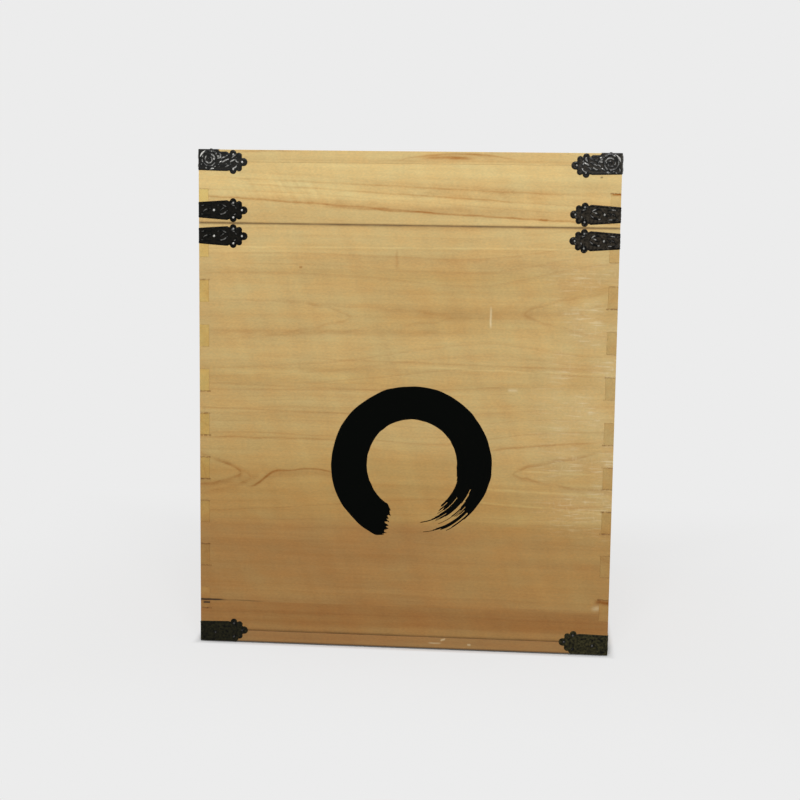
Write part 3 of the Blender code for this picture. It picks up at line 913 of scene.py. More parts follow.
def front_wave(tree, along, up):
    """The wavy line: it leaves the eye, climbs steeply and runs on, with a brown shade under it."""
    height = WAVE_START
    for low, high, change in WAVE_STEPS:
        height = along.ramp(low, high) * change + height
    along_scale, *shake_slice = WAVE_SHAKE_PLACE
    shake = (noise(tree, vector(tree, along * along_scale, *shake_slice), 2.0) - 0.5) * WAVE_SHAKE
    off_line = up - height + shake
    steep = along.near(CLIMB_PLACE, CLIMB_HALF_LENGTH)
    half_width = steep * CLIMB_HALF_WIDTH + WAVE_HALF_WIDTH
    line = (off_line / half_width).bell() * (steep * CLIMB_STRENGTH + WAVE_STRENGTH)
    under_line = off_line.near(SHADE_PLACE, SHADE_HALF_WIDTH)
    shade = under_line * along.ramp(*SHADE_START) * SHADE_STRENGTH
    return (line + shade) * along.ramp(*WAVE_LEFT_END) * along.ramp(*WAVE_RIGHT_END)


print("eye and wave ready")

# %% [markdown]
# ## Scuffs, crack and knot
# The right edge of the front is rubbed pale in dashes and scratches, as it is where a chest is
# carried past a wall. These are patches of noise that soft steps keep near the edge. The crack
# by the left foot, a knot by the right one and a few pale marks are strokes again. All of them
# belong to the outer face, so a mask keeps them from showing inside the chest.

# %% Front marks
KNOT = (0.2045, 0.0555, 0.010, 0.0024, 1.00)
FRONT_SKIN = 0.002
DASHES = ((55.0, 480.0, 5.0), 3.0, (0.52, 0.70))
SCRATCHES = ((330.0, 130.0, 2.0), 3.0, (0.55, 0.75))
RUB_PATCHES = ((18.0, 24.0, 1.0), 1.0, (0.36, 0.56))
DASH_RUB = 0.50
SCRATCH_RUB = 0.24
EVEN_RUB = 0.10
RUB_RIGHT_END = (0.11, 0.19)
RUB_LOW_END = (0.10, 0.17)
RUB_HIGH_END = (0.42, 0.37)


def on_front(depth):
    """1 within a thin skin of the front's outer face, 0 behind it."""
    return depth.above(-HALF_DEPTH + FRONT_SKIN).flipped()


def broken_patches(tree, along, up, scales, detail, edges):
    """Patches from 0 to 1 out of noise. scales are along, up and a slice of its own."""
    along_scale, up_scale, noise_slice = scales
    place = vector(tree, along * along_scale, up * up_scale, noise_slice)
    return noise(tree, place, detail).ramp(*edges)


def front_marks(tree, along, up, across):
    """All that can be told apart on the body's front, only on its outer face."""
    outer = on_front(across)
    standing_line = stroke(tree, up, along, 0.4006, -0.0099, 0.0125, 0.0014, 0.26)
    figure = (front_lines(tree, along, up) + front_tongues(tree, along, up)
              + front_eye(tree, along, up) + front_wave(tree, along, up) + standing_line)
    dashes = broken_patches(tree, along, up, *DASHES)
    scratches = broken_patches(tree, along, up, *SCRATCHES)
    patches = broken_patches(tree, along, up, *RUB_PATCHES)
    rub = (dashes * DASH_RUB + scratches * SCRATCH_RUB + EVEN_RUB) * patches
    edge_rub = rub * along.ramp(*RUB_RIGHT_END) * up.ramp(*RUB_LOW_END)
    pale_marks = (stroke(tree, up, along, 0.3438, 0.0851, 0.0130, 0.0009, 0.60)
                  + stroke(tree, along, up, 0.1086, 0.2710, 0.0060, 0.0013, 0.50))
    crack = (stroke(tree, along, up, -0.206, 0.0447, 0.024, 0.0008, 1.25, slope=0.02)
             + stroke(tree, along, up, -0.180, 0.0446, 0.045, 0.0006, 0.40))
    knot = stroke(tree, along, up, *KNOT)
    below_knot = stroke(tree, along, up, 0.2030, 0.0490, 0.012, 0.0026, 0.34)
    rubbed = edge_rub * up.ramp(*RUB_HIGH_END) + pale_marks + below_knot
    return {"Marks": (figure + knot) * outer, "Rubbed": rubbed * outer, "Dirt": crack * outer}


print("front marks ready")

# %% [markdown]
# ## The front panel
# The front follows the body's course of tones and adds its own: painted light that makes the
# lower half paler to the right, and soft darker bands above. Four planks from the foot up give it
# its growth rings. The numbers of a plank say where its pith lies behind the face, which decides
# the figure.

# %% Front panel wood
PALE_RIGHT_END = (-0.02, 0.18)
ABOVE_FOOT = (0.03, 0.09)
BELOW_MIDDLE = (0.34, 0.20)
LOWER_RIGHT_PAINTED_LIGHT = 0.12
PALE_ABOVE_JOINT = (0.152, 0.025, 0.05)
ABOVE_MIDDLE = (0.29, 0.34)
SADDLE_SHADE = (0.03, 0.07, 0.07)
PALE_LEFT_END = (-0.08, -0.17)
LEFT_PALENESS = 0.05
FRONT_BANDS = ((0.382, 0.012, 0.06), (0.343, 0.014, 0.03), (0.277, 0.012, 0.04))


def swelling(wire, middle, half_width, level):
    """A soft band about a middle, as strong as level."""
    return wire.near(middle, half_width) * level


def front_tone(along, up, across):
    """The body's tones, with painted light to the right in the lower half, and soft darker bands
    above.
    """
    # Painted light: the lower half is paler towards the right.
    painted_light_low = up.ramp(*ABOVE_FOOT) * up.ramp(*BELOW_MIDDLE) * LOWER_RIGHT_PAINTED_LIGHT
    above_joint = swelling(up, *PALE_ABOVE_JOINT)
    tone = body_tone(along, up, across) - along.ramp(*PALE_RIGHT_END) * (painted_light_low + above_joint)
    upper_shade = swelling(along, *SADDLE_SHADE) - along.ramp(*PALE_LEFT_END) * LEFT_PALENESS
    tone = up.ramp(*ABOVE_MIDDLE) * upper_shade + tone
    for band in FRONT_BANDS:
        tone = swelling(up, *band) + tone
    return tone


FRONT_PLANKS = [
    plank(top=0.0440, pith=0.60, gap=0.009),
    plank(top=0.1312, pith=-0.30, depth=0.10, gap=0.012, wander=0.022),
    plank(top=0.2740, pith=0.186, depth=0.024, saddle=0.03, rise=0.012, left=0.12, right=0.07,
          slope=0.03, gap=0.0062),
    plank(pith=0.3432, depth=0.0217, saddle=0.080, rise=0.025, left=0.155, right=0.10, slope=0.0457,
          wander=0.008, gap=0.0085),
]
# Dirt and painted gap shade along the foot of the walls and along the seam.
BODY_DIRT_AND_SHADE = ((WALL_FOOT, 0.0018, 0.50), (BODY_TOP, 0.0011, 0.54))
body_front_wood = board_wood("body_front_wood", "xzy", HALF_DEPTH, FRONT_PLANKS, 2.0, front_tone,
                             front_marks, BODY_DIRT_AND_SHADE)
print(f"front panel wood: {len(body_front_wood.node_tree.nodes)} nodes")

# %% [markdown]
# ## The front of the lid
# The lid was sawn from the palest wood, and its lines run slightly downhill to the right. One dark
# streak crosses it from end to end above the seam. Towards the left the fibres wave, which shows as
# a slanting shimmer. The front edge of the top board has one small hill of grain.

# %% Lid front wood
LID_TONE = 0.08
LID_BAND = (0.478, 0.006, 0.06)
LID_FOOT_EDGE = (0.457, 0.449)
LID_FOOT_REACH = (0.16, 0.06)
LID_FOOT_SHADE = 0.16
SHIMMER_SLANT = 0.6
SHIMMER_PLACE = (170.0, 30.0, 2.0)
SHIMMER_ALONG = (-0.125, 0.055)
SHIMMER_UP = (0.4700, 0.018)
SHIMMER_STRENGTH = 0.70


def lid_front_tone(along, up, across):
    """The lid's tone, with one soft darker band and a browner foot."""
    band = swelling(up, *LID_BAND)
    foot = up.ramp(*LID_FOOT_EDGE) * (along.ramp(*LID_FOOT_REACH) * LID_FOOT_SHADE)
    return foot + band + LID_TONE


def lid_front_marks(tree, along, up, across):
    """Lines that run downhill, the shimmer towards the left and one speck."""
    line = partial(stroke, tree, along, up)
    lines = (line(-0.100, 0.4550, 0.170, 0.0010, 0.50, slope=-0.060, bow=0.001)
             + line(0.070, 0.4443, 0.185, 0.0010, 0.55, slope=-0.048)
             + line(0.020, 0.4505, 0.230, 0.0040, 0.22, slope=-0.055)
             + line(-0.010, 0.4725, 0.260, 0.0009, 0.26, slope=-0.040)
             + line(0.007, 0.4640, 0.230, 0.0009, 0.32, slope=-0.056)
             + line(0.030, 0.4632, 0.100, 0.0030, 0.30, slope=-0.056)
             + line(0.040, 0.4700, 0.140, 0.0035, 0.26, slope=-0.040)
             + line(0.120, 0.4610, 0.120, 0.0030, 0.20, slope=-0.050)
             + line(0.135, 0.4405, 0.006, 0.0012, 0.55))
    along_scale, up_scale, noise_slice = SHIMMER_PLACE
    slanted = (along + up * SHIMMER_SLANT) * along_scale
    shimmer = noise(tree, vector(tree, slanted, up * up_scale, noise_slice), 1.0) - 0.5
    shimmer = shimmer * (along.near(*SHIMMER_ALONG) * up.near(*SHIMMER_UP))
    speck = stroke(tree, along, up, 0.1911, 0.4834, 0.0016, 0.0008, 0.60)
    return {"Marks": lines + shimmer * SHIMMER_STRENGTH, "Dirt": speck}


def lid_top_marks(tree, along, up, across):
    """A hill of grain on the front edge, where the third axis is the height."""
    line = partial(stroke, tree, along, across)
    hill = (line(0.052, 0.5050, 0.075, 0.0010, 0.45, bow=0.0105)
            + line(0.040, 0.5008, 0.032, 0.0016, 0.55)
            + line(0.052, 0.5030, 0.045, 0.0020, 0.22, bow=0.004)
            + line(-0.140, 0.5062, 0.040, 0.0009, 0.45, slope=0.01)
            + line(0.0, 0.4975, 0.260, 0.0008, 0.12))
    return {"Marks": hill * on_front(up)}


LID_PLANKS = [plank(pith=0.62, depth=0.03, slope=-0.05, gap=0.0085, wander=0.010)]
# Dirt and painted gap shade along the lid's edge at the seam.
LID_DIRT_AND_SHADE = ((LID_FOOT, 0.0010, 0.54),)
lid_front_wood = board_wood("lid_front_wood", "xzy", HALF_DEPTH, LID_PLANKS, 31.0, lid_front_tone,
                            lid_front_marks, LID_DIRT_AND_SHADE)
print(f"lid front wood: {len(lid_front_wood.node_tree.nodes)} nodes")

# %% [markdown]
# ## The other boards
# The sides and the back can't be seen in the photograph. They are made of the same planks as the
# front with other figure, so the plank joints run round the chest at different heights. The top,
# the bottom and the strips inside the mouth have their grain along their length.

# %% Other woods
BOTTOM_TONE = 0.84
BOTTOM_RUB = 0.05
STRIP_TONE = 0.24
RIGHT_SIDE_PAINTED_LIGHT = 0.15
PAINTED_FOOT_SHADOW_BAND = (0.0012, 0.85)


def side_planks(joint, pith):
    """Three planks with a joint at one height and a tongue about the pith's height."""
    return [plank(top=joint - 0.075, pith=-0.25, depth=0.08, gap=0.015, wander=0.02),
            plank(top=joint + 0.110, tone=0.03, pith=pith - 0.16, depth=0.03, saddle=-0.05,
                  rise=0.02, left=0.10, right=0.13, slope=0.02),
            plank(pith=pith, depth=0.022, saddle=0.06, rise=0.028, left=0.13, right=0.09,
                  slope=-0.03)]


def flat_planks(joint):
    """Two planks of a top or a bottom board."""
    return [plank(top=joint, tone=0.05, pith=-0.11, depth=0.02, saddle=0.05, rise=0.02, slope=0.02),
            plank(pith=0.10, depth=0.025, saddle=-0.08, rise=0.03, slope=-0.02)]


def side_tone(along, up, across):
    """The body's tones, with painted light on the lower half of the right side."""
    painted_light = across.above(0.0) * up.ramp(*BELOW_MIDDLE) * RIGHT_SIDE_PAINTED_LIGHT
    return body_tone(along, up, across) - painted_light


def even_tone(level):
    """A tone that is the same all over a board."""
    return lambda along, up, across: up * 0.0 + level


def side_marks(tree, along, up, across):
    """The crack by the left foot and the knot by the right one go on over the side boards' ends."""
    front_end = on_front(along)
    crack = (stroke(tree, across, up, -HALF_WIDTH, 0.0447, 0.030, 0.0009, 1.30)
             + stroke(tree, across, up, -0.2040, 0.0414, 0.005, 0.0008, 1.20))
    return {"Dirt": crack * front_end, "Marks": stroke(tree, across, up, *KNOT) * front_end}


def lid_side_marks(tree, along, up, across):
    """A brown stain between two fingers at the lid's right front corner."""
    front_end = on_front(along)
    return {"Marks": stroke(tree, across, up, 0.2080, 0.4674, 0.009, 0.0013, 1.50) * front_end}


def bottom_marks(tree, along, up, across):
    """Pale chips on the front edge, where the third axis is the height, and a painted foot shadow.
    """
    front_edge = on_front(up)
    chip = partial(stroke, tree, along, across)
    chips = (chip(0.0340, 0.0067, 0.0080, 0.0007, 0.50)
             + chip(0.0424, 0.0102, 0.0030, 0.0009, 0.60, slope=0.3)
             + chip(0.0693, 0.0060, 0.0022, 0.0009, 0.60))
    # Painted shadow along the lowest edge, where the chest meets the floor.
    painted_foot_shadow = swelling(across, CASE_FOOT, *PAINTED_FOOT_SHADOW_BAND)
    return {"Rubbed": chips * front_edge + BOTTOM_RUB, "Dirt": painted_foot_shadow}


LID_SIDE_PLANKS = [plank(pith=0.30, depth=0.03, slope=0.04, gap=0.009)]
STRIP_PLANKS = [plank(pith=0.60, depth=0.03, gap=0.006)]
lid_tone = even_tone(LID_TONE)
bottom_tone = even_tone(BOTTOM_TONE)
strip_tone = even_tone(STRIP_TONE)
body_back_wood = board_wood("body_back_wood", "xzy", HALF_DEPTH, side_planks(0.155, 0.320), 12.0,
                            dirt=BODY_DIRT_AND_SHADE)
body_side_wood = board_wood("body_side_wood", "yzx", HALF_WIDTH, side_planks(0.150, 0.335), 17.0,
                            side_tone, side_marks, BODY_DIRT_AND_SHADE, two_sides=True)
lid_back_wood = board_wood("lid_back_wood", "xzy", HALF_DEPTH, LID_SIDE_PLANKS, 43.0, lid_tone,
                           dirt=LID_DIRT_AND_SHADE)
lid_side_wood = board_wood("lid_side_wood", "yzx", HALF_WIDTH, LID_SIDE_PLANKS, 47.0, lid_tone,
                           lid_side_marks, LID_DIRT_AND_SHADE, two_sides=True)
lid_top_wood = board_wood("lid_top_wood", "xyz", CASE_TOP, flat_planks(-0.03), 53.0, lid_tone,
                          lid_top_marks, fingers=False)
bottom_wood = board_wood("bottom_wood", "xyz", CASE_FOOT, flat_planks(0.05), 59.0, bottom_tone,
                         bottom_marks, fingers=False)
strip_long_wood = board_wood("strip_long_wood", "xzy", HALF_DEPTH, STRIP_PLANKS, 61.0, strip_tone,
                             two_sides=True, fingers=False)
strip_side_wood = board_wood("strip_side_wood", "yzx", HALF_WIDTH, STRIP_PLANKS, 67.0, strip_tone,
                             two_sides=True, fingers=False)
print("woods for the sides, back, top, bottom and strips ready")

# %% [markdown]
# ## Eased edges on the boards
# The CAD boards have dead sharp edges and a hair of room in every joint, as loose parts do. Glued
# up, the joints close. Five modifiers do that without touching the mesh: one welds the loose
# triangles, one melts flat triangles into whole faces, one swells the board by a quarter of a
# millimetre, a narrow bevel catches the light along every edge and finger, and the last keeps
# the shading of the large faces flat beside it.

# %% Dress the boards
EDGE_EASE = 0.00032
EASE_SEGMENTS = 2
JOINT_SWELL = 0.00026
WELD_DISTANCE = 0.00001
FLAT_ANGLE = math.radians(1)
SHARP_ANGLE = math.radians(40)
BOARD_WOODS = {
    "body_front_board": body_front_wood, "body_back_board": body_back_wood,
    "body_left_board": body_side_wood, "body_right_board": body_side_wood,
    "lid_front_board": lid_front_wood, "lid_back_board": lid_back_wood,
    "lid_left_board": lid_side_wood, "lid_right_board": lid_side_wood,
    "lid_top_board": lid_top_wood, "bottom_board": bottom_wood,
    "locating_strip_front": strip_long_wood, "locating_strip_back": strip_long_wood,
    "locating_strip_left": strip_side_wood, "locating_strip_right": strip_side_wood,
}


def ease_edges(board):
    """Closed joints and eased edges, by modifiers alone."""
    weld = board.modifiers.new("weld", "WELD")
    weld.merge_threshold = WELD_DISTANCE
    melt = board.modifiers.new("whole_faces", "DECIMATE")
    melt.decimate_type = "DISSOLVE"
    melt.angle_limit = FLAT_ANGLE
    swell = board.modifiers.new("closed_joints", "DISPLACE")
    swell.mid_level = 0.0
    swell.strength = JOINT_SWELL
    bevel = board.modifiers.new("eased_edges", "BEVEL")
    bevel.width = EDGE_EASE
    bevel.segments = EASE_SEGMENTS
    bevel.limit_method = "ANGLE"
    bevel.angle_limit = SHARP_ANGLE
    shading = board.modifiers.new("even_shading", "WEIGHTED_NORMAL")
    shading.keep_sharp = True


for board_name, wood in BOARD_WOODS.items():
    board = bpy.data.objects[board_name]
    for material_slot in board.material_slots:
        material_slot.material = wood
    ease_edges(board)
print(f"{len(BOARD_WOODS)} boards dressed")

# %% [markdown]
# ## The shape of an iron leaf
# Every fitting is a thin plate folded round a corner, and each side of it is a leaf: a tapering arm
# that ends in a rosette of lobes. A signed distance, below zero inside the iron, describes such an
# outline as a union of discs and an arm, and it can also say how far a point is from the edge,
# which the rolled rim needs. Drawing the outline as a polygon would give the edge but not that.

# %% Leaf outline
PLATE_PROUD = 0.0005
PLATE_THICKNESS = 0.0003
SHOULDER_REACH = 0.0288
NOTCH_REACH = 0.0306
ARM_END = 0.0345
ROSETTE_REACH = 0.0370
ROSETTE_RADIUS = 0.0082
SIDE_LOBE = (0.0088, 104.0, 0.0034)
CORNER_LOBE = (0.0073, 58.0, 0.0031)
TIP_LOBE = (0.0085, 0.0, 0.0040)
LOBES = (SIDE_LOBE, CORNER_LOBE, TIP_LOBE)
LEAF_REACH = ROSETTE_REACH + TIP_LOBE[0] + TIP_LOBE[2]
STRAP_HALF_WIDTHS = (0.0078, 0.0099, 0.0090)
CAP_LOW_EDGE = (0.0084, 0.0091, 0.0086)
CAP_HIGH_EDGE = (0.0103, 0.0088)
CAP_CENTRE_INSET = 0.0121
SKIRT_REACH = 0.0405
SKIRT_START = 0.0080
SKIRT_SLANT = 0.6
TAB_REACH = 0.0195
TAB_SLOPE_LENGTH = 0.002
TAB_SCALLOP = 0.0022
TAB_WAVES = 12
TAB_SQUARE = 1.12
OVER_FOLD = 0.0002
CORNER_OVERRUN = 0.01
FOLD_RISE = CAP_CENTRE_INSET + PLATE_PROUD
ARM_STATIONS = (-PLATE_PROUD, SHOULDER_REACH, NOTCH_REACH)


def disc(u, v, centre_u, centre_v, radius):
    """Signed distance to a disc."""
    return np.hypot(u - centre_u, v - centre_v) - radius


def lobe_centres():
    """Centre and radius of every lobe of a rosette."""
    for reach, degrees, radius in LOBES:
        turn = math.radians(degrees)
        centre_u = ROSETTE_REACH + reach * math.cos(turn)
        for side in (1, -1) if degrees else (1,):
            yield centre_u, side * reach * math.sin(turn), radius


def rosette(u, v):
    """Signed distance to the rosette at the end of a leaf."""
    distance = disc(u, v, ROSETTE_REACH, 0.0, ROSETTE_RADIUS)
    for centre_u, centre_v, radius in lobe_centres():
        distance = np.minimum(distance, disc(u, v, centre_u, centre_v, radius))
    return distance


def strap_shape(u, v):
    """Signed distance to a strap's leaf: u away from the corner, v across."""
    half_width = np.interp(u, ARM_STATIONS, STRAP_HALF_WIDTHS)
    arm = np.maximum(np.abs(v) - half_width, u - ARM_END)
    return np.minimum(arm, rosette(u, v))


def cap_shape(u, v):
    """A cap's leaf, whose arm runs over the fold above it near the corner."""
    low = np.interp(u, ARM_STATIONS, CAP_LOW_EDGE)
    past_fold = FOLD_RISE + OVER_FOLD
    shoulder, notch = CAP_HIGH_EDGE
    stations = (-PLATE_PROUD, TAB_REACH, TAB_REACH + TAB_SLOPE_LENGTH, SHOULDER_REACH, NOTCH_REACH)
    edges = (past_fold + CORNER_OVERRUN, past_fold, shoulder, shoulder, notch)
    high = np.interp(u, stations, edges)
    arm = np.maximum(np.maximum(v - high, -low - v), u - ARM_END)
    return np.minimum(arm, rosette(u, v))


def base_cap_shape(u, v):
    """A base cap's leaf, whose iron runs on down to the floor as far as the rosette."""
    skirt_end = SKIRT_REACH - (v - SKIRT_START) * SKIRT_SLANT
    return np.minimum(cap_shape(u, v), np.maximum(-v, u - skirt_end))


def tab_shape(a, b):
    """The part of a cap that lies on the lid's top or under the foot, with a scalloped edge."""
    angle = np.clip(np.arctan2(b, a), 0.0, math.pi / 2)
    reach = TAB_REACH + TAB_SCALLOP * (1 - np.cos(TAB_WAVES * angle)) / 2
    rounded = np.hypot(np.maximum(a, 0), np.maximum(b, 0)) - reach
    return np.maximum(rounded, np.maximum(a, b) - TAB_REACH * TAB_SQUARE)


print(f"leaf reaches {LEAF_REACH:.4f} from the corner")

# %% [markdown]
# ## Ridges
# The ornament of a fitting is stamped into thin iron, so it stands up in rounded ridges. Each one
# follows a curve: a spiral, or an arc between two points. Its height falls off with the distance
# to the curve, which numpy works out for all points of a plate at once. Bevelled curves laid on
# the plate would look like wire, where a stamped sheet has no joint.

# %% Ridges
MM = 0.001
SCROLL_POINTS = 70
SCROLL_CLOSING = 0.86
SCROLL_THINNING = 0.35
LEAF_POINTS = 36
LEAF_TIP = 0.30
LEAF_SWELL = 0.70
RIM_ROLL = 0.0010
RIM_DROP = 0.00025
BEAD_PLACE = 0.0013
BEAD_HALF_WIDTH = 0.00055


def ridge(u, v, curve_u, curve_v, widths, height):
    """A rounded ridge along a curve given by points, whose half width may change along it."""
    gap = np.hypot(u[..., None] - curve_u, v[..., None] - curve_v) / widths
    return height * np.exp(-np.min(gap, axis=-1) ** 2)


def spiral_ridge(u, v, centre, radius, turns, start, half_width, height):
    """A scroll that winds in from its outer end."""
    part = np.linspace(0.0, 1.0, SCROLL_POINTS)
    reach = radius * (1 - SCROLL_CLOSING * part)
    angle = math.radians(start) + 2 * math.pi * turns * part
    widths = half_width * (1 - SCROLL_THINNING * part)
    curve_u = centre[0] + reach * np.cos(angle)
    curve_v = centre[1] + reach * np.sin(angle)
    return ridge(u, v, curve_u, curve_v, widths, height)


def leaf_ridge(u, v, start, end, bulge, half_width, height):
    """A leaf stroke from start to end, bowed to one side and thin at both tips."""
    part = np.linspace(0.0, 1.0, LEAF_POINTS)
    bow = bulge * 4 * part * (1 - part)
    run_u, run_v = end[0] - start[0], end[1] - start[1]
    widths = half_width * (LEAF_TIP + LEAF_SWELL * np.sin(math.pi * part))
    curve_u = start[0] + run_u * part - run_v * bow
    curve_v = start[1] + run_v * part + run_u * bow
    return ridge(u, v, curve_u, curve_v, widths, height)


def faded(distance, reach):
    """0 at no distance, 1 from a reach on."""
    return np.clip(distance / reach, 0, 1)


def rolled_rim(edge, rim_height):
    """The edge rolls down to the wood, with a low bead just inside it."""
    bead = np.exp(-((edge - BEAD_PLACE) / BEAD_HALF_WIDTH) ** 2)
    return rim_height * bead - RIM_DROP * (1 - faded(edge, RIM_ROLL)) ** 2


print("ridges ready")

# %% [markdown]
# ## Stamped relief
# The caps carry deep scrolls and slanting leaf strokes, the straps a shallow bud and arcs. They
# are lists of ridges in millimetres, measured from the corner and across the leaf. The relief
# fades towards folds and edges, so that the sheets of a fitting meet without a step.

# %% Relief
CAP_SCROLLS = (((11.0, 2.2), 8.8, 2.3, 40), ((20.4, 6.0), 2.6, 1.2, 250))
CAP_LEAVES = (((16.0, -5.0), (20.6, -2.8), 0.06, 0.80), ((24.0, -0.4), (31.0, 2.8), 0.05, 0.85),
              ((31.6, -0.4), (37.0, 2.4), 0.05, 0.80), ((26.4, 4.8), (31.2, 7.0), 0.06, 0.70),
              ((22.4, 2.0), (26.8, 5.2), 0.08, 0.70), ((20.8, -4.8), (28.4, -2.0), -0.06, 0.75),
              ((27.0, -5.2), (33.0, -2.6), 0.06, 0.70), ((33.4, 3.4), (37.0, 6.6), 0.10, 0.70),
              ((34.6, -6.0), (38.8, -2.6), -0.20, 0.75), ((38.0, 4.2), (40.2, -0.6), -0.25, 0.70),
              ((1.8, -5.6), (4.6, -1.6), 0.20, 0.75), ((5.0, -7.4), (9.4, -6.2), 0.15, 0.75),
              ((10.6, -7.6), (15.4, -6.6), 0.10, 0.70), ((20.6, -1.4), (23.4, 0.6), 0.10, 0.65),
              ((7.0, 11.0), (1.4, 3.6), -0.12, 1.00))
STRAP_LEAVES = (((18.6, -4.2), (29.8, 0.6), -0.16, 0.95), ((18.6, 4.4), (29.4, 1.4), 0.20, 0.85),
                ((21.6, -0.8), (26.6, 2.4), 0.12, 0.80), ((33.6, 5.2), (38.2, 0.6), 0.22, 0.85),
                ((33.6, -5.2), (38.2, -0.6), -0.22, 0.70), ((2.0, 4.0), (12.6, 4.4), 0.06, 0.70),
                ((2.0, -4.0), (12.6, -4.4), -0.06, 0.70), ((4.0, -2.6), (9.4, 0.8), 0.16, 0.60),
                ((9.0, -1.6), (12.8, 1.8), 0.16, 0.60))
CAP_RIM = 0.00030
CAP_LEAF_RELIEF = 0.00095
SCROLL_HALF_WIDTH = 0.00085
SCROLL_RELIEF = 0.00085
CLOGGED_DEPTH = 0.40
FOLD_FADE = 0.0030
CORNER_FADE = 0.0022
CAP_EDGE_FADE = 0.0016
STRAP_RIM = 0.00025
STRAP_RELIEF = 0.00050
STRAP_EDGE_FADE = 0.0015
TAB_RIM = 0.00010
PETAL_RELIEF = 0.00020
PETAL_REACH = 0.012
TAB_FOLD_FADE = 0.0040
TAB_EDGE_FADE = 0.0025


def leaves_relief(u, v, leaves, height):
    """The highest of all leaf strokes at each point."""
    top = np.zeros_like(u)
    for start, end, bulge, half_width in leaves:
        at = [tuple(MM * number for number in point) for point in (start, end)]
        top = np.maximum(top, leaf_ridge(u, v, *at, bulge, MM * half_width, height))
    return top


def strap_relief(u, v, edge):
    """A strap's rim and its bud and arcs."""
    strokes = leaves_relief(u, v, STRAP_LEAVES, STRAP_RELIEF)
    return rolled_rim(edge, STRAP_RIM) + strokes * faded(edge, STRAP_EDGE_FADE)


def cap_relief(u, v, edge, depth=1.0):
    """A cap's scrolls and strokes. A depth below 1 is a blunter stamping."""
    top = leaves_relief(u, v, CAP_LEAVES, CAP_LEAF_RELIEF)
    for centre, radius, turns, start in CAP_SCROLLS:
        at = tuple(MM * number for number in centre)
        scroll = spiral_ridge(u, v, at, MM * radius, turns, start, SCROLL_HALF_WIDTH, SCROLL_RELIEF)
        top = np.maximum(top, scroll)
    fold_fade = faded(FOLD_RISE - v, FOLD_FADE) * faded(u + PLATE_PROUD, CORNER_FADE)
    return rolled_rim(edge, CAP_RIM) + depth * top * fold_fade * faded(edge, CAP_EDGE_FADE)


def clogged_relief(u, v, edge):
    """The caps at the foot, whose relief is half filled with old dirt."""
    return cap_relief(u, v, edge, CLOGGED_DEPTH)


def tab_relief(a, b, edge):
    """Shallow petals on the tab, one to each scallop, that begin away from the corner."""
    petals = PETAL_RELIEF * np.cos(TAB_WAVES * np.arctan2(b, a))
    petals = petals * np.clip(np.hypot(a, b) / PETAL_REACH - 0.5, 0, 1)
    fold_fade = faded(np.minimum(a, b) + PLATE_PROUD, TAB_FOLD_FADE)
    return rolled_rim(edge, TAB_RIM) - petals * fold_fade * faded(edge, TAB_EDGE_FADE)


print(f"cap: {len(CAP_SCROLLS)} scrolls, {len(CAP_LEAVES)} strokes")
print(f"strap: {len(STRAP_LEAVES)} strokes")

# %% [markdown]
# ## Cutting a sheet
# A plate starts as a fine grid. Cells outside the outline fall away, the points along the cut
# slide onto the outline, and the relief lifts the rest. A filled outline would be one large face
# with nothing to lift, so the grid comes first and the cut second.

# %% Sheet
CELL = 0.0006
EDGE_STEP = 0.00001
EDGE_PASSES = 4
EDGE_APPROACH = 0.9
LEAST_STEEPNESS = 0.2


def slide_to_edge(shape, u, v, on_cut):
    """Move the points of the cut onto the outline, along the steepest way."""
    for _ in range(EDGE_PASSES):
        away = shape(u, v)
        slope_u = (shape(u + EDGE_STEP, v) - shape(u - EDGE_STEP, v)) / (2 * EDGE_STEP)
        slope_v = (shape(u, v + EDGE_STEP) - shape(u, v - EDGE_STEP)) / (2 * EDGE_STEP)
        steep = np.maximum(slope_u ** 2 + slope_v ** 2, LEAST_STEEPNESS)
        u = np.where(on_cut, u - np.clip(away * slope_u / steep, -CELL, CELL) * EDGE_APPROACH, u)
        v = np.where(on_cut, v - np.clip(away * slope_v / steep, -CELL, CELL) * EDGE_APPROACH, v)
    return u, v


def pressed_sheet(shape, relief, u_line, v_line, folds):
    """Points, faces and heights of one sheet. folds says which grid ends are folded, not cut."""
    u, v = np.meshgrid(u_line, v_line, indexing="ij")
    middle_u = (u[:-1, :-1] + u[1:, 1:]) / 2
    middle_v = (v[:-1, :-1] + v[1:, 1:]) / 2
    kept = shape(middle_u, middle_v) < 0
    count = np.zeros(u.shape, int)
    for shift_u in (0, 1):
        for shift_v in (0, 1):
            count[shift_u:shift_u + kept.shape[0], shift_v:shift_v + kept.shape[1]] += kept
    on_cut = (count > 0) & (count < 4)
    if folds[0]:
        on_cut[0, :] = False
    if folds[1]:
        on_cut[:, 0] = False
    u, v = slide_to_edge(shape, u, v, on_cut)
    height = relief(u, v, np.maximum(-shape(u, v), 0.0))
    number = np.arange(u.size).reshape(u.shape)
    cells = np.argwhere(kept)
    faces = [(number[i, j], number[i + 1, j], number[i + 1, j + 1], number[i, j + 1])
             for i, j in cells]
    return u, v, height, faces


print(f"sheets of {CELL * 1000:.1f} mm cells")

# %% [markdown]
# ## Folding the sheets
# The sheets of a fitting meet at the fold, and a rounding bends them over the corner: each point
# keeps its direction from a rounded core. A bevel after the fact would stretch the relief there.

# %% Folds
LEAST_LENGTH = 1e-9


def round_corner(points, radius, folded):
    """Bend sharp outer faces over a rounded edge. folded names the axes that fold here."""
    inner = radius - PLATE_PROUD
    core = points.copy()
    core[..., 0] = np.maximum(core[..., 0], inner)
    core[..., 1] = np.maximum(core[..., 1], inner)
    if "z" in folded:
        core[..., 2] = np.minimum(core[..., 2], -inner)
    outward = points - core
    outward /= np.maximum(np.linalg.norm(outward, axis=-1, keepdims=True), LEAST_LENGTH)
    return core + outward * radius, outward


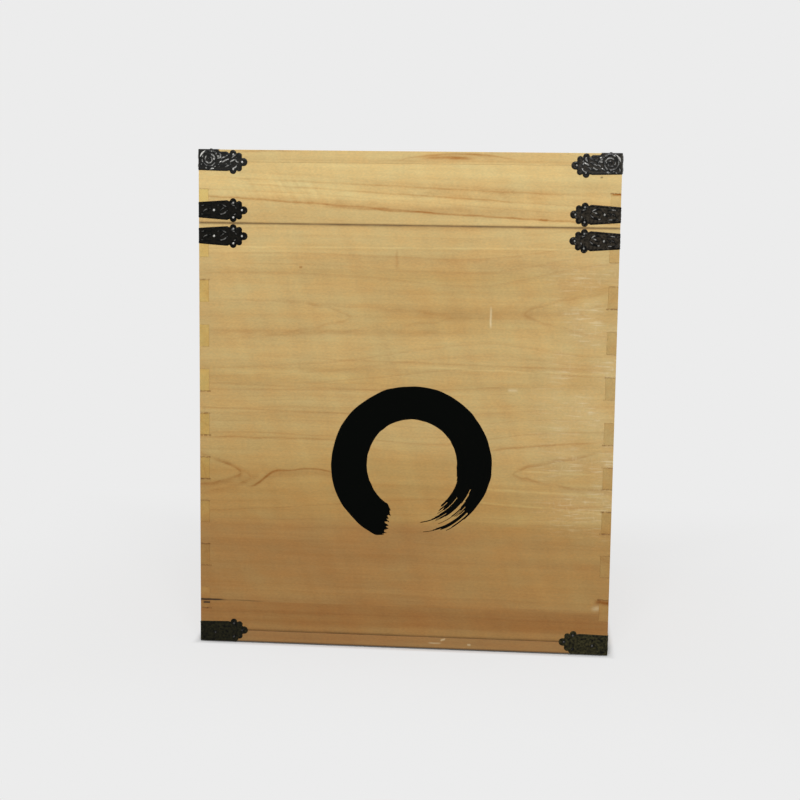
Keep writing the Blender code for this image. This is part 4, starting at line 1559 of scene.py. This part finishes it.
def lay_sheet(side, u, v, centre_height):
    """Where a sheet's points are before rounding: on the front, the side or the top."""
    proud = np.full_like(u, -PLATE_PROUD)
    risen = v + centre_height
    layers = {"front": (u, proud, risen), "side": (proud, u, risen), "top": (u, v, -proud)}
    return np.stack(layers[side], axis=-1)


print("folds ready")

# %% [markdown]
# ## Pressing the fittings
# A strap has two leaves, and a cap has a tab that joins them on the lid's top or under the foot.
# The sheets become one mesh with welded folds, and each point remembers its share of the relief,
# so that the iron can be worn, and painted with glints, on the ridges. A cap's corner counts as
# rubbed even more, which paints its highlight. Solidify gives the iron its thickness when the
# fitting is placed.

# %% Fitting meshes
STRAP_CORNER_RADIUS = 0.0010
CAP_CORNER_RADIUS = 0.0009
WELD_GAP = 0.00002
HIGHEST_RELIEF = 0.0009
CORNER_WEAR_HIGHLIGHT_RADIUS = 0.0064
CORNER_WEAR_HIGHLIGHT_REACH = 0.0022
CORNER_WEAR_HIGHLIGHT_SHARE = 0.55


def corner_wear_and_highlight(points):
    """Highest in a band round a cap's point: wear and a painted highlight of the swollen corner."""
    point = np.array((-PLATE_PROUD, -PLATE_PROUD, PLATE_PROUD))
    off_band = np.linalg.norm(points - point, axis=-1) - CORNER_WEAR_HIGHLIGHT_RADIUS
    return CORNER_WEAR_HIGHLIGHT_SHARE * np.exp(-(off_band / CORNER_WEAR_HIGHLIGHT_REACH) ** 2)


def press_fitting(name, sheets, radius, folded, centre_height):
    """Join the sheets of one fitting into a mesh that remembers its relief."""
    plate = bmesh.new()
    worn_and_highlit = plate.verts.layers.float.new("relief")
    for side, shape, relief, u_line, v_line, folds in sheets:
        u, v, height, faces = pressed_sheet(shape, relief, u_line, v_line, folds)
        flat = lay_sheet(side, u, v, centre_height)
        rounded, outward = round_corner(flat, radius, folded)
        places = (rounded + outward * height[..., None]).reshape(-1, 3)
        # The corner band adds wear and a painted highlight to a cap's share.
        rubbed = corner_wear_and_highlight(flat) if "z" in folded else 0.0
        shares = (np.clip(height / HIGHEST_RELIEF, 0, 1) * (1.0 + rubbed)).reshape(-1)
        used = sorted({index for face in faces for index in face})
        points = {index: plate.verts.new(places[index]) for index in used}
        for index, point in points.items():
            point[worn_and_highlit] = shares[index]
        turned = (side == "side") != (v_line[1] < v_line[0])
        for face in faces:
            corners = [points[index] for index in (face[::-1] if turned else face)]
            plate.faces.new(corners).smooth = True
    bmesh.ops.remove_doubles(plate, verts=plate.verts, dist=WELD_GAP)
    mesh = bpy.data.meshes.new(name)
    plate.to_mesh(mesh)
    plate.free()
    return mesh


def grid_line(start, end):
    """Grid places one cell apart from start towards end."""
    steps = int(abs(end - start) / CELL) + 1
    return start + math.copysign(CELL, end - start) * np.arange(steps + 1)


LEAF_SIDES = ("front", "side")
LEAF_END = LEAF_REACH + CELL
ROSETTE_SIDE = SIDE_LOBE[0] * math.sin(math.radians(SIDE_LOBE[1])) + SIDE_LOBE[2] + CELL
out_line = grid_line(-PLATE_PROUD, LEAF_END)
strap_line = grid_line(-ROSETTE_SIDE, ROSETTE_SIDE)
cap_line = grid_line(FOLD_RISE, -ROSETTE_SIDE)
tab_line = grid_line(-PLATE_PROUD, TAB_REACH + TAB_SCALLOP + CELL)


def flat_relief(a, b, edge):
    """The tabs under the foot, which nobody sees, are plain."""
    return np.zeros_like(edge)


def cap_sheets(leaf_shape, on_leaf, on_tab):
    """The two leaves of a cap and the tab that joins them over the fold."""
    leaves = [(side, leaf_shape, on_leaf, out_line, cap_line, (True, True)) for side in LEAF_SIDES]
    return leaves + [("top", tab_shape, on_tab, tab_line, tab_line, (True, True))]


strap_sheets = [(side, strap_shape, strap_relief, out_line, strap_line, (True, False))
                for side in LEAF_SIDES]
lid_cap_sheets = cap_sheets(cap_shape, cap_relief, tab_relief)
base_cap_sheets = cap_sheets(base_cap_shape, clogged_relief, flat_relief)
strap_plate = press_fitting("strap_plate", strap_sheets, STRAP_CORNER_RADIUS, "", 0.0)
lid_cap_plate = press_fitting("lid_cap_plate", lid_cap_sheets, CAP_CORNER_RADIUS, "z",
                              -CAP_CENTRE_INSET)
base_cap_plate = press_fitting("base_cap_plate", base_cap_sheets, CAP_CORNER_RADIUS, "z",
                               -CAP_CENTRE_INSET)
print(f"strap {len(strap_plate.polygons)} faces, cap {len(lid_cap_plate.polygons)} faces")

# %% [markdown]
# ## Black iron
# The fittings are blackened iron under old lacquer: almost black, half glossy, a little brown dust
# in the hollows, and bare grey metal where hands have rubbed the ridges, which also paints their
# glints. It is brightest round the corner of a cap, where it is also a painted highlight. Wear and
# glints are high relief broken up by noise, and dust is low relief on the same noise. One group
# makes both, and each iron places it with its own levels, because the fittings on the right and
# those by the floor hold more dust than the rest. On the right, the dust also paints a sheen.

# %% Iron
LACQUER_BLACK = (0.0034, 0.0036, 0.0032, 1)
RUBBED_GLINTING_IRON = (0.34, 0.33, 0.31, 1)
KEEN_GLINTING_IRON = (0.44, 0.435, 0.41, 1)
BRIGHT_WORN_HIGHLIGHT_IRON = (0.82, 0.80, 0.75, 1)
HOLLOW_DUST_AND_SHEEN = (0.044, 0.036, 0.026, 1)
FLOOR_DUST = (0.060, 0.054, 0.022, 1)
RIDGE_SHED = 1.4
CLOGGED_SHED = 0.35
GRIT_SCALE = 420.0
GRIT_ROUGHNESS = 0.20
IRON_NOISE_ROUGHNESS = 0.6
GLINT_SCALE = 240.0
GLINT_EDGES = (0.42, 0.60)
BARE_HIGHLIT_CORNER = (1.02, 1.22)
RAGGED_WEAR_AND_GLINTS = 0.7
WEAR_AND_GLINT_SOFTNESS = 0.40
WEAR_POLISH = 0.06
BARE_METALLIC = 0.85
DUST_GRIT = 1.3
DUST_EDGES = (0.30, 0.95)
DUST_ROUGHNESS = 0.20
LACQUER_ROUGHNESS = 0.20
IRON_RELIEF = (0.25, 0.0003)


def iron_wear_and_glints_group():
    """Dust in the hollows and bare metal on high relief, all over or in painted glints."""
    titles = {"Place": (0.0, 0.0, 0.0), "Relief": 0.0, "Dust Level": 0.5, "Wear Level": 0.5,
              "Wear From": 0.3, "Evenness": 0.0, "Shed": RIDGE_SHED, "Dust Colour": HOLLOW_DUST_AND_SHEEN,
              "Bare Metal": RUBBED_GLINTING_IRON}
    looks = {"Colour": "Color", "Metallic": "Float", "Roughness": "Float", "Height": "Float"}
    tree, wires, outlet = new_group("iron_wear", titles, looks)
    place, relief, dust_and_sheen_level, wear_and_glint_level, wear_and_glint_from, evenness, shed, dust_and_sheen_colour, bare_and_glinting = wires

    def grained(scale, detail):
        scaled = node_output(tree, "ShaderNodeVectorMath", 0, {"operation": "SCALE"}, Vector=place,
                             Scale=scale)
        return noise(tree, scaled, detail, IRON_NOISE_ROUGHNESS)

    grit = grained(GRIT_SCALE, 4.0)
    glints = grained(GLINT_SCALE, 1.0).ramp(*GLINT_EDGES) * evenness.flipped() + evenness
    bare_and_highlit_corner = relief.ramp(*BARE_HIGHLIT_CORNER)
    glints = glints.flipped() * bare_and_highlit_corner + glints
    ragged = relief + (grit - 0.5) * RAGGED_WEAR_AND_GLINTS
    # Bare metal on the ridges, broken by the glint noise, paints glints as well as wear.
    wear = ragged.ramp(wear_and_glint_from, wear_and_glint_from + WEAR_AND_GLINT_SOFTNESS) * glints * wear_and_glint_level
    dust = (grit * DUST_GRIT - relief * shed).ramp(*DUST_EDGES) * dust_and_sheen_level
    dusty_and_sheened = colour_mix(tree, dust, LACQUER_BLACK, dust_and_sheen_colour)
    metal = colour_mix(tree, bare_and_highlit_corner, bare_and_glinting, BRIGHT_WORN_HIGHLIGHT_IRON)
    roughness = (grit * GRIT_ROUGHNESS + dust * DUST_ROUGHNESS - wear * WEAR_POLISH
                 + LACQUER_ROUGHNESS)
    colour = colour_mix(tree, wear, dusty_and_sheened, metal)
    put_out(tree, outlet, Colour=colour, Metallic=wear * BARE_METALLIC, Roughness=roughness,
            Height=grit)
    return tree


def black_iron(name, gloss, **levels):
    """Blackened iron with its own gloss and its own levels of dust, sheen, wear and glints."""
    material, tree, shader = new_material(name)
    place = node_output(tree, "ShaderNodeTexCoord", "Object")
    relief = node_output(tree, "ShaderNodeAttribute", "Fac", {"attribute_name": "relief"})
    worn_and_highlit = use_group(tree, iron_wear, Place=place, Relief=relief, **levels)
    feed(tree, shader.inputs["Base Color"], worn_and_highlit["Colour"])
    feed(tree, shader.inputs["Metallic"], worn_and_highlit["Metallic"])
    feed(tree, shader.inputs["Roughness"], worn_and_highlit["Roughness"])
    shader.inputs["Specular IOR Level"].default_value = gloss
    raise_surface(tree, shader, worn_and_highlit["Height"], *IRON_RELIEF)
    return material


iron_wear = iron_wear_and_glints_group()
print(f"iron wear: {len(iron_wear.nodes)} nodes")

# %% [markdown]
# ## Nails
# Every leaf is held by four dome-headed nails: one on the arm and three in the rosette. A nail head
# is a small lathe form, turned here by spinning a rounded profile, with its skirt sunk into the
# plate. All nails of one fitting are one piece.

# %% Nail heads
NAIL_RADIUS = 0.0019
NAIL_RISE = 0.0011
NAIL_SUNK = 0.0004
NAIL_ROUNDNESS = 0.8
SKIRT_WEAR_AND_GLINT = 0.35
NAIL_SIDES = 18
NAIL_RINGS = 6
ARM_NAIL_REACH = 0.0155
CAP_ARM_NAIL_RISE = 0.003
LOBE_NAIL_SHARE = 0.85
TAB_NAIL_REACH = 0.0105


def leaf_nails(arm_rise):
    """Places of the nails on one leaf: the arm, the two side lobes and the tip."""
    places = [(ARM_NAIL_REACH, arm_rise)]
    side_reach, side_turn, _ = SIDE_LOBE
    reach = side_reach * LOBE_NAIL_SHARE
    turn = math.radians(side_turn)
    for side in (1, -1):
        places.append((ROSETTE_REACH + reach * math.cos(turn), side * reach * math.sin(turn)))
    places.append((ROSETTE_REACH + TIP_LOBE[0] * LOBE_NAIL_SHARE, 0.0))
    return places


def add_nail(heads, worn_and_highlit, seat, outward):
    """One dome head at a seat, by rings of points from the skirt to the crown."""
    across = outward.orthogonal().normalized()
    other = outward.cross(across)
    rings = []
    for ring in range(NAIL_RINGS):
        rise = ring / NAIL_RINGS
        turn = rise * math.pi / 2
        radius = NAIL_RADIUS * math.cos(turn) ** NAIL_ROUNDNESS
        height = NAIL_RISE * math.sin(turn) - NAIL_SUNK * (1 - rise)
        row = []
        for side in range(NAIL_SIDES):
            angle = 2 * math.pi * side / NAIL_SIDES
            around = across * math.cos(angle) + other * math.sin(angle)
            point = heads.verts.new(seat + around * radius + outward * height)
            point[worn_and_highlit] = SKIRT_WEAR_AND_GLINT + (1 - SKIRT_WEAR_AND_GLINT) * rise
            row.append(point)
        rings.append(row)
    crown = heads.verts.new(seat + outward * NAIL_RISE)
    crown[worn_and_highlit] = 1.0
    for lower, upper in zip(rings, rings[1:]):
        for side in range(NAIL_SIDES):
            after = (side + 1) % NAIL_SIDES
            heads.faces.new((lower[side], lower[after], upper[after], upper[side])).smooth = True
    for side, point in enumerate(rings[-1]):
        heads.faces.new((point, rings[-1][(side + 1) % NAIL_SIDES], crown)).smooth = True
    heads.faces.new(rings[0][::-1])


def nails_mesh(name, arm_rise, centre_height, tab_nail):
    """All nails of one fitting, on both leaves and, for a lid cap, on the tab."""
    heads = bmesh.new()
    worn_and_highlit = heads.verts.layers.float.new("relief")
    for u, v in leaf_nails(arm_rise):
        height = v + centre_height
        add_nail(heads, worn_and_highlit, Vector((u, -PLATE_PROUD, height)), Vector((0, -1, 0)))
        add_nail(heads, worn_and_highlit, Vector((-PLATE_PROUD, u, height)), Vector((-1, 0, 0)))
    if tab_nail:
        seat = Vector((TAB_NAIL_REACH, TAB_NAIL_REACH, PLATE_PROUD))
        add_nail(heads, worn_and_highlit, seat, Vector((0, 0, 1)))
    mesh = bpy.data.meshes.new(name)
    heads.to_mesh(mesh)
    heads.free()
    return mesh


strap_nails = nails_mesh("strap_nails", 0.0, 0.0, False)
lid_cap_nails = nails_mesh("lid_cap_nails", CAP_ARM_NAIL_RISE, -CAP_CENTRE_INSET, True)
base_cap_nails = nails_mesh("base_cap_nails", CAP_ARM_NAIL_RISE, -CAP_CENTRE_INSET, False)
print(f"{len(leaf_nails(0.0))} nails on a leaf")

# %% [markdown]
# ## Fittings on their corners
# One strap or cap serves all four corners, turned by quarter turns, and the caps at the foot are
# turned over as well, about the corner's diagonal. Each plate stands for the CAD fitting in the
# same place, and its height comes from that fitting's own box. The left and right corners have
# irons of their own, as the right ones hold far more dust, which is also a painted sheen.

# %% Place the fittings
CORNERS = (("front_left", -1, -1, 0), ("front_right", 1, -1, 90),
           ("back_right", 1, 1, 180), ("back_left", -1, 1, 270))
UPRIGHT = Matrix.Identity(4)
TURNED_OVER = Matrix.Rotation(math.pi, 4, Vector((1, 1, 0)))


def in_iron(mesh, dust, wear, gloss, **levels):
    """The mesh for the left corners and a copy for the right ones, each in its own iron."""
    copies = {-1: mesh, 1: mesh.copy()}
    for copy, word, dust_and_sheen_level, wear_and_glint_level in zip(copies.values(), ("left", "right"), dust, wear):
        iron = black_iron(f"{mesh.name}_{word}_iron", gloss, Dust_Level=dust_and_sheen_level,
                          Wear_Level=wear_and_glint_level, **levels)
        copy.materials.append(iron)
    return copies


def place_piece(name, mesh, matrix, body):
    """One iron piece in its place on a body."""
    piece = bpy.data.objects.new(name, mesh)
    scene.collection.objects.link(piece)
    piece.matrix_world = matrix
    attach(piece, body)
    return piece


def place_fittings(kind, plates, nails, body, height, flip):
    """A fitting and its nails on each of the four corners."""
    for corner, side, end, degrees in CORNERS:
        seat = Matrix.Translation((side * HALF_WIDTH, end * HALF_DEPTH, height))
        matrix = seat @ Matrix.Rotation(math.radians(degrees), 4, "Z") @ flip
        fitting = place_piece(f"{kind}_{corner}_plate", plates[side], matrix, body)
        thickness = fitting.modifiers.new("iron_thickness", "SOLIDIFY")
        thickness.thickness = PLATE_THICKNESS
        thickness.offset = -1.0
        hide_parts(f"{kind}_{corner}")
        place_piece(f"{kind}_{corner}_nails", nails[side], matrix, body)


def middle_height(node):
    """The height of a CAD fitting's middle."""
    low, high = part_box(node)
    return (low[2] + high[2]) / 2


# Every nail crown is worn bare and bright, which also paints its glint.
bright_nails = dict(dust=(0.20, 0.50), wear=(1.0, 0.42), gloss=0.12, Wear_From=0.70,
                    Bare_Metal=BRIGHT_WORN_HIGHLIGHT_IRON, Evenness=1.0)
# The higher dust levels on the right also paint a sheen on the iron.
strap = (in_iron(strap_plate, dust=(0.20, 1.00), wear=(0.50, 0.95), gloss=0.04, Wear_From=0.22),
         in_iron(strap_nails, **bright_nails))
lid_cap = (in_iron(lid_cap_plate, dust=(0.26, 0.75), wear=(0.90, 0.60), gloss=0.20, Wear_From=0.33,
                   Bare_Metal=KEEN_GLINTING_IRON),
           in_iron(lid_cap_nails, **bright_nails))
base_cap = (in_iron(base_cap_plate, dust=(0.36, 0.85), wear=(0.03, 0.10), gloss=0.05,
                    Wear_From=0.48, Dust_Colour=FLOOR_DUST, Shed=CLOGGED_SHED),
            in_iron(base_cap_nails, dust=(0.20, 0.40), wear=(0.26, 0.38), gloss=0.10,
                    Wear_From=0.66))
place_fittings("body_strap", *strap, "chest", middle_height("body_strap_front_left"), UPRIGHT)
place_fittings("lid_strap", *strap, "lid", middle_height("lid_strap_front_left"), UPRIGHT)
place_fittings("lid_cap", *lid_cap, "lid", CASE_TOP, UPRIGHT)
place_fittings("base_cap", *base_cap, "chest", CASE_FOOT, TURNED_OVER)
print(f"{4 * len(CORNERS)} fittings placed")

# %% [markdown]
# ## A painted ring
# The front of such a chest carries one bold mark in black paint, put on with a broad brush. This
# one is a plain ring, the simplest brush stroke that fills the place. It is made as the brush makes
# it: many strands side by side follow one path, start together and run dry one after another.

# %% Brush ring
RING_CENTRE = (0.0115, 0.1940)
RING_RADIUS = 0.0655
RING_HALF_WIDTH = 0.0168
RING_START = math.radians(-112)
RING_SWEEP = math.radians(338)
RING_STRANDS = 46
RING_STEPS = 380
RING_OVAL = 0.0035
RING_OVAL_TURN = 0.8
RING_CLOSING = 0.0040
BRUSH_LEAN = 0.05
PRESS_PLACES = (0.0, 0.025, 0.12, 0.45, 0.75, 1.0)
PRESS = (0.62, 0.98, 1.06, 0.92, 1.0, 0.56)
EDGE_SHAKES = ((30, 0.0018), (7, 0.0006))
DRY_FROM = 0.74
DRY_SPREAD = 0.27
DRY_TOGETHER = 0.75
START_SPREAD = 0.012
PAINT_LIFT = 0.00020
rng = np.random.default_rng(8)


def smooth_random(count, reach):
    """Random numbers from 0 to 1 that change slowly from one to the next."""
    rough = rng.random(count + 2 * reach)
    window = np.hanning(2 * reach + 1)
    soft = np.convolve(rough, window / window.sum(), "valid")
    return (soft - soft.min()) / (soft.max() - soft.min())


def ring_mesh():
    """The brush stroke as a sheet of strands, each from where it starts to where it runs dry."""
    part = np.linspace(0.0, 1.0, RING_STEPS + 1)[:, None]
    strand = np.linspace(-1.0, 1.0, RING_STRANDS + 1)[None, :]
    press = np.interp(part, PRESS_PLACES, PRESS)
    shakes = [sum(smooth_random(RING_STEPS + 1, reach) * size for reach, size in EDGE_SHAKES)
              for _ in range(2)]
    edge_shake = np.where(strand > 0, shakes[0][:, None], shakes[1][:, None])
    oval = RING_OVAL * np.sin(2 * math.pi * part + RING_OVAL_TURN)
    radius = RING_RADIUS + oval - RING_CLOSING * part
    reach = radius + strand * (RING_HALF_WIDTH * press + edge_shake * np.abs(strand))
    angle = RING_START - RING_SWEEP * part + BRUSH_LEAN * strand * (1 - 2 * part)
    x = RING_CENTRE[0] + reach * np.cos(angle)
    z = RING_CENTRE[1] + reach * np.sin(angle)
    together = DRY_TOGETHER * smooth_random(RING_STRANDS, 2)
    alone = (1 - DRY_TOGETHER) * rng.random(RING_STRANDS)
    runs_dry = DRY_FROM + DRY_SPREAD * (together + alone)
    starts = START_SPREAD * smooth_random(RING_STRANDS, 3)
    sheet = bmesh.new()
    along_layer = sheet.verts.layers.float.new("along")
    across_layer = sheet.verts.layers.float.new("across")
    points = {}
    for i in range(RING_STEPS):
        for j in range(RING_STRANDS):
            if not starts[j] <= part[i, 0] < runs_dry[j]:
                continue
            corners = []
            for key in ((i, j), (i, j + 1), (i + 1, j + 1), (i + 1, j)):
                if key not in points:
                    point = sheet.verts.new((x[key], -HALF_DEPTH - PAINT_LIFT, z[key]))
                    point[along_layer] = part[key[0], 0]
                    point[across_layer] = strand[0, key[1]]
                    points[key] = point
                corners.append(points[key])
            sheet.faces.new(corners).smooth = True
    bmesh.ops.recalc_face_normals(sheet, faces=sheet.faces)
    if sum(face.normal.y for face in sheet.faces) > 0:
        bmesh.ops.reverse_faces(sheet, faces=sheet.faces)
    mesh = bpy.data.meshes.new("painted_ring")
    sheet.to_mesh(mesh)
    sheet.free()
    return mesh


ring_stroke = ring_mesh()
print(f"ring of {len(ring_stroke.polygons)} faces")

# %% [markdown]
# ## Black paint
# The paint covers where the brush was full, and thins to brown along single bristles as it runs
# dry. Each point of the ring remembers how far along the stroke and how far across the brush it
# is, so the bristle lines bend with the stroke, as those of a flat pattern would not.

# %% Paint
PAINT_BLACK = (0.0014, 0.0018, 0.0014, 1)
THIN_PAINT = (0.012, 0.009, 0.006, 1)
BRISTLES_ALONG = 14.0
BRISTLES_ACROSS = 34.0
THIN_BRISTLES = (0.62, 0.80)
RUNNING_DRY = (0.35, 0.95)
PAINT_ROUGHNESS = 0.48
BRISTLE_ROUGHNESS = 0.22
PAINT_GLOSS = 0.02
PAINT_RELIEF = (0.18, 0.0003)
PAINT_THICKNESS = 0.00015


def black_paint():
    """Black paint that thins to brown where the bristles run dry."""
    material, tree, shader = new_material("black_paint")
    along = node_output(tree, "ShaderNodeAttribute", "Fac", {"attribute_name": "along"})
    across = node_output(tree, "ShaderNodeAttribute", "Fac", {"attribute_name": "across"})
    bristle_place = vector(tree, along * BRISTLES_ALONG, across * BRISTLES_ACROSS, 0.0)
    bristles = noise(tree, bristle_place, 3.0)
    thin = bristles.ramp(*THIN_BRISTLES) * along.ramp(*RUNNING_DRY)
    feed(tree, shader.inputs["Base Color"], colour_mix(tree, thin, PAINT_BLACK, THIN_PAINT))
    feed(tree, shader.inputs["Roughness"], bristles * BRISTLE_ROUGHNESS + PAINT_ROUGHNESS)
    shader.inputs["Specular IOR Level"].default_value = PAINT_GLOSS
    raise_surface(tree, shader, bristles, *PAINT_RELIEF)
    return material


ring = bpy.data.objects.new("painted_ring", ring_stroke)
scene.collection.objects.link(ring)
ring.data.materials.append(black_paint())
coat = ring.modifiers.new("paint_thickness", "SOLIDIFY")
coat.thickness = PAINT_THICKNESS
coat.offset = -1.0
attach(ring, "chest")
print(f"{ring.name} in {ring.data.materials[0].name}")
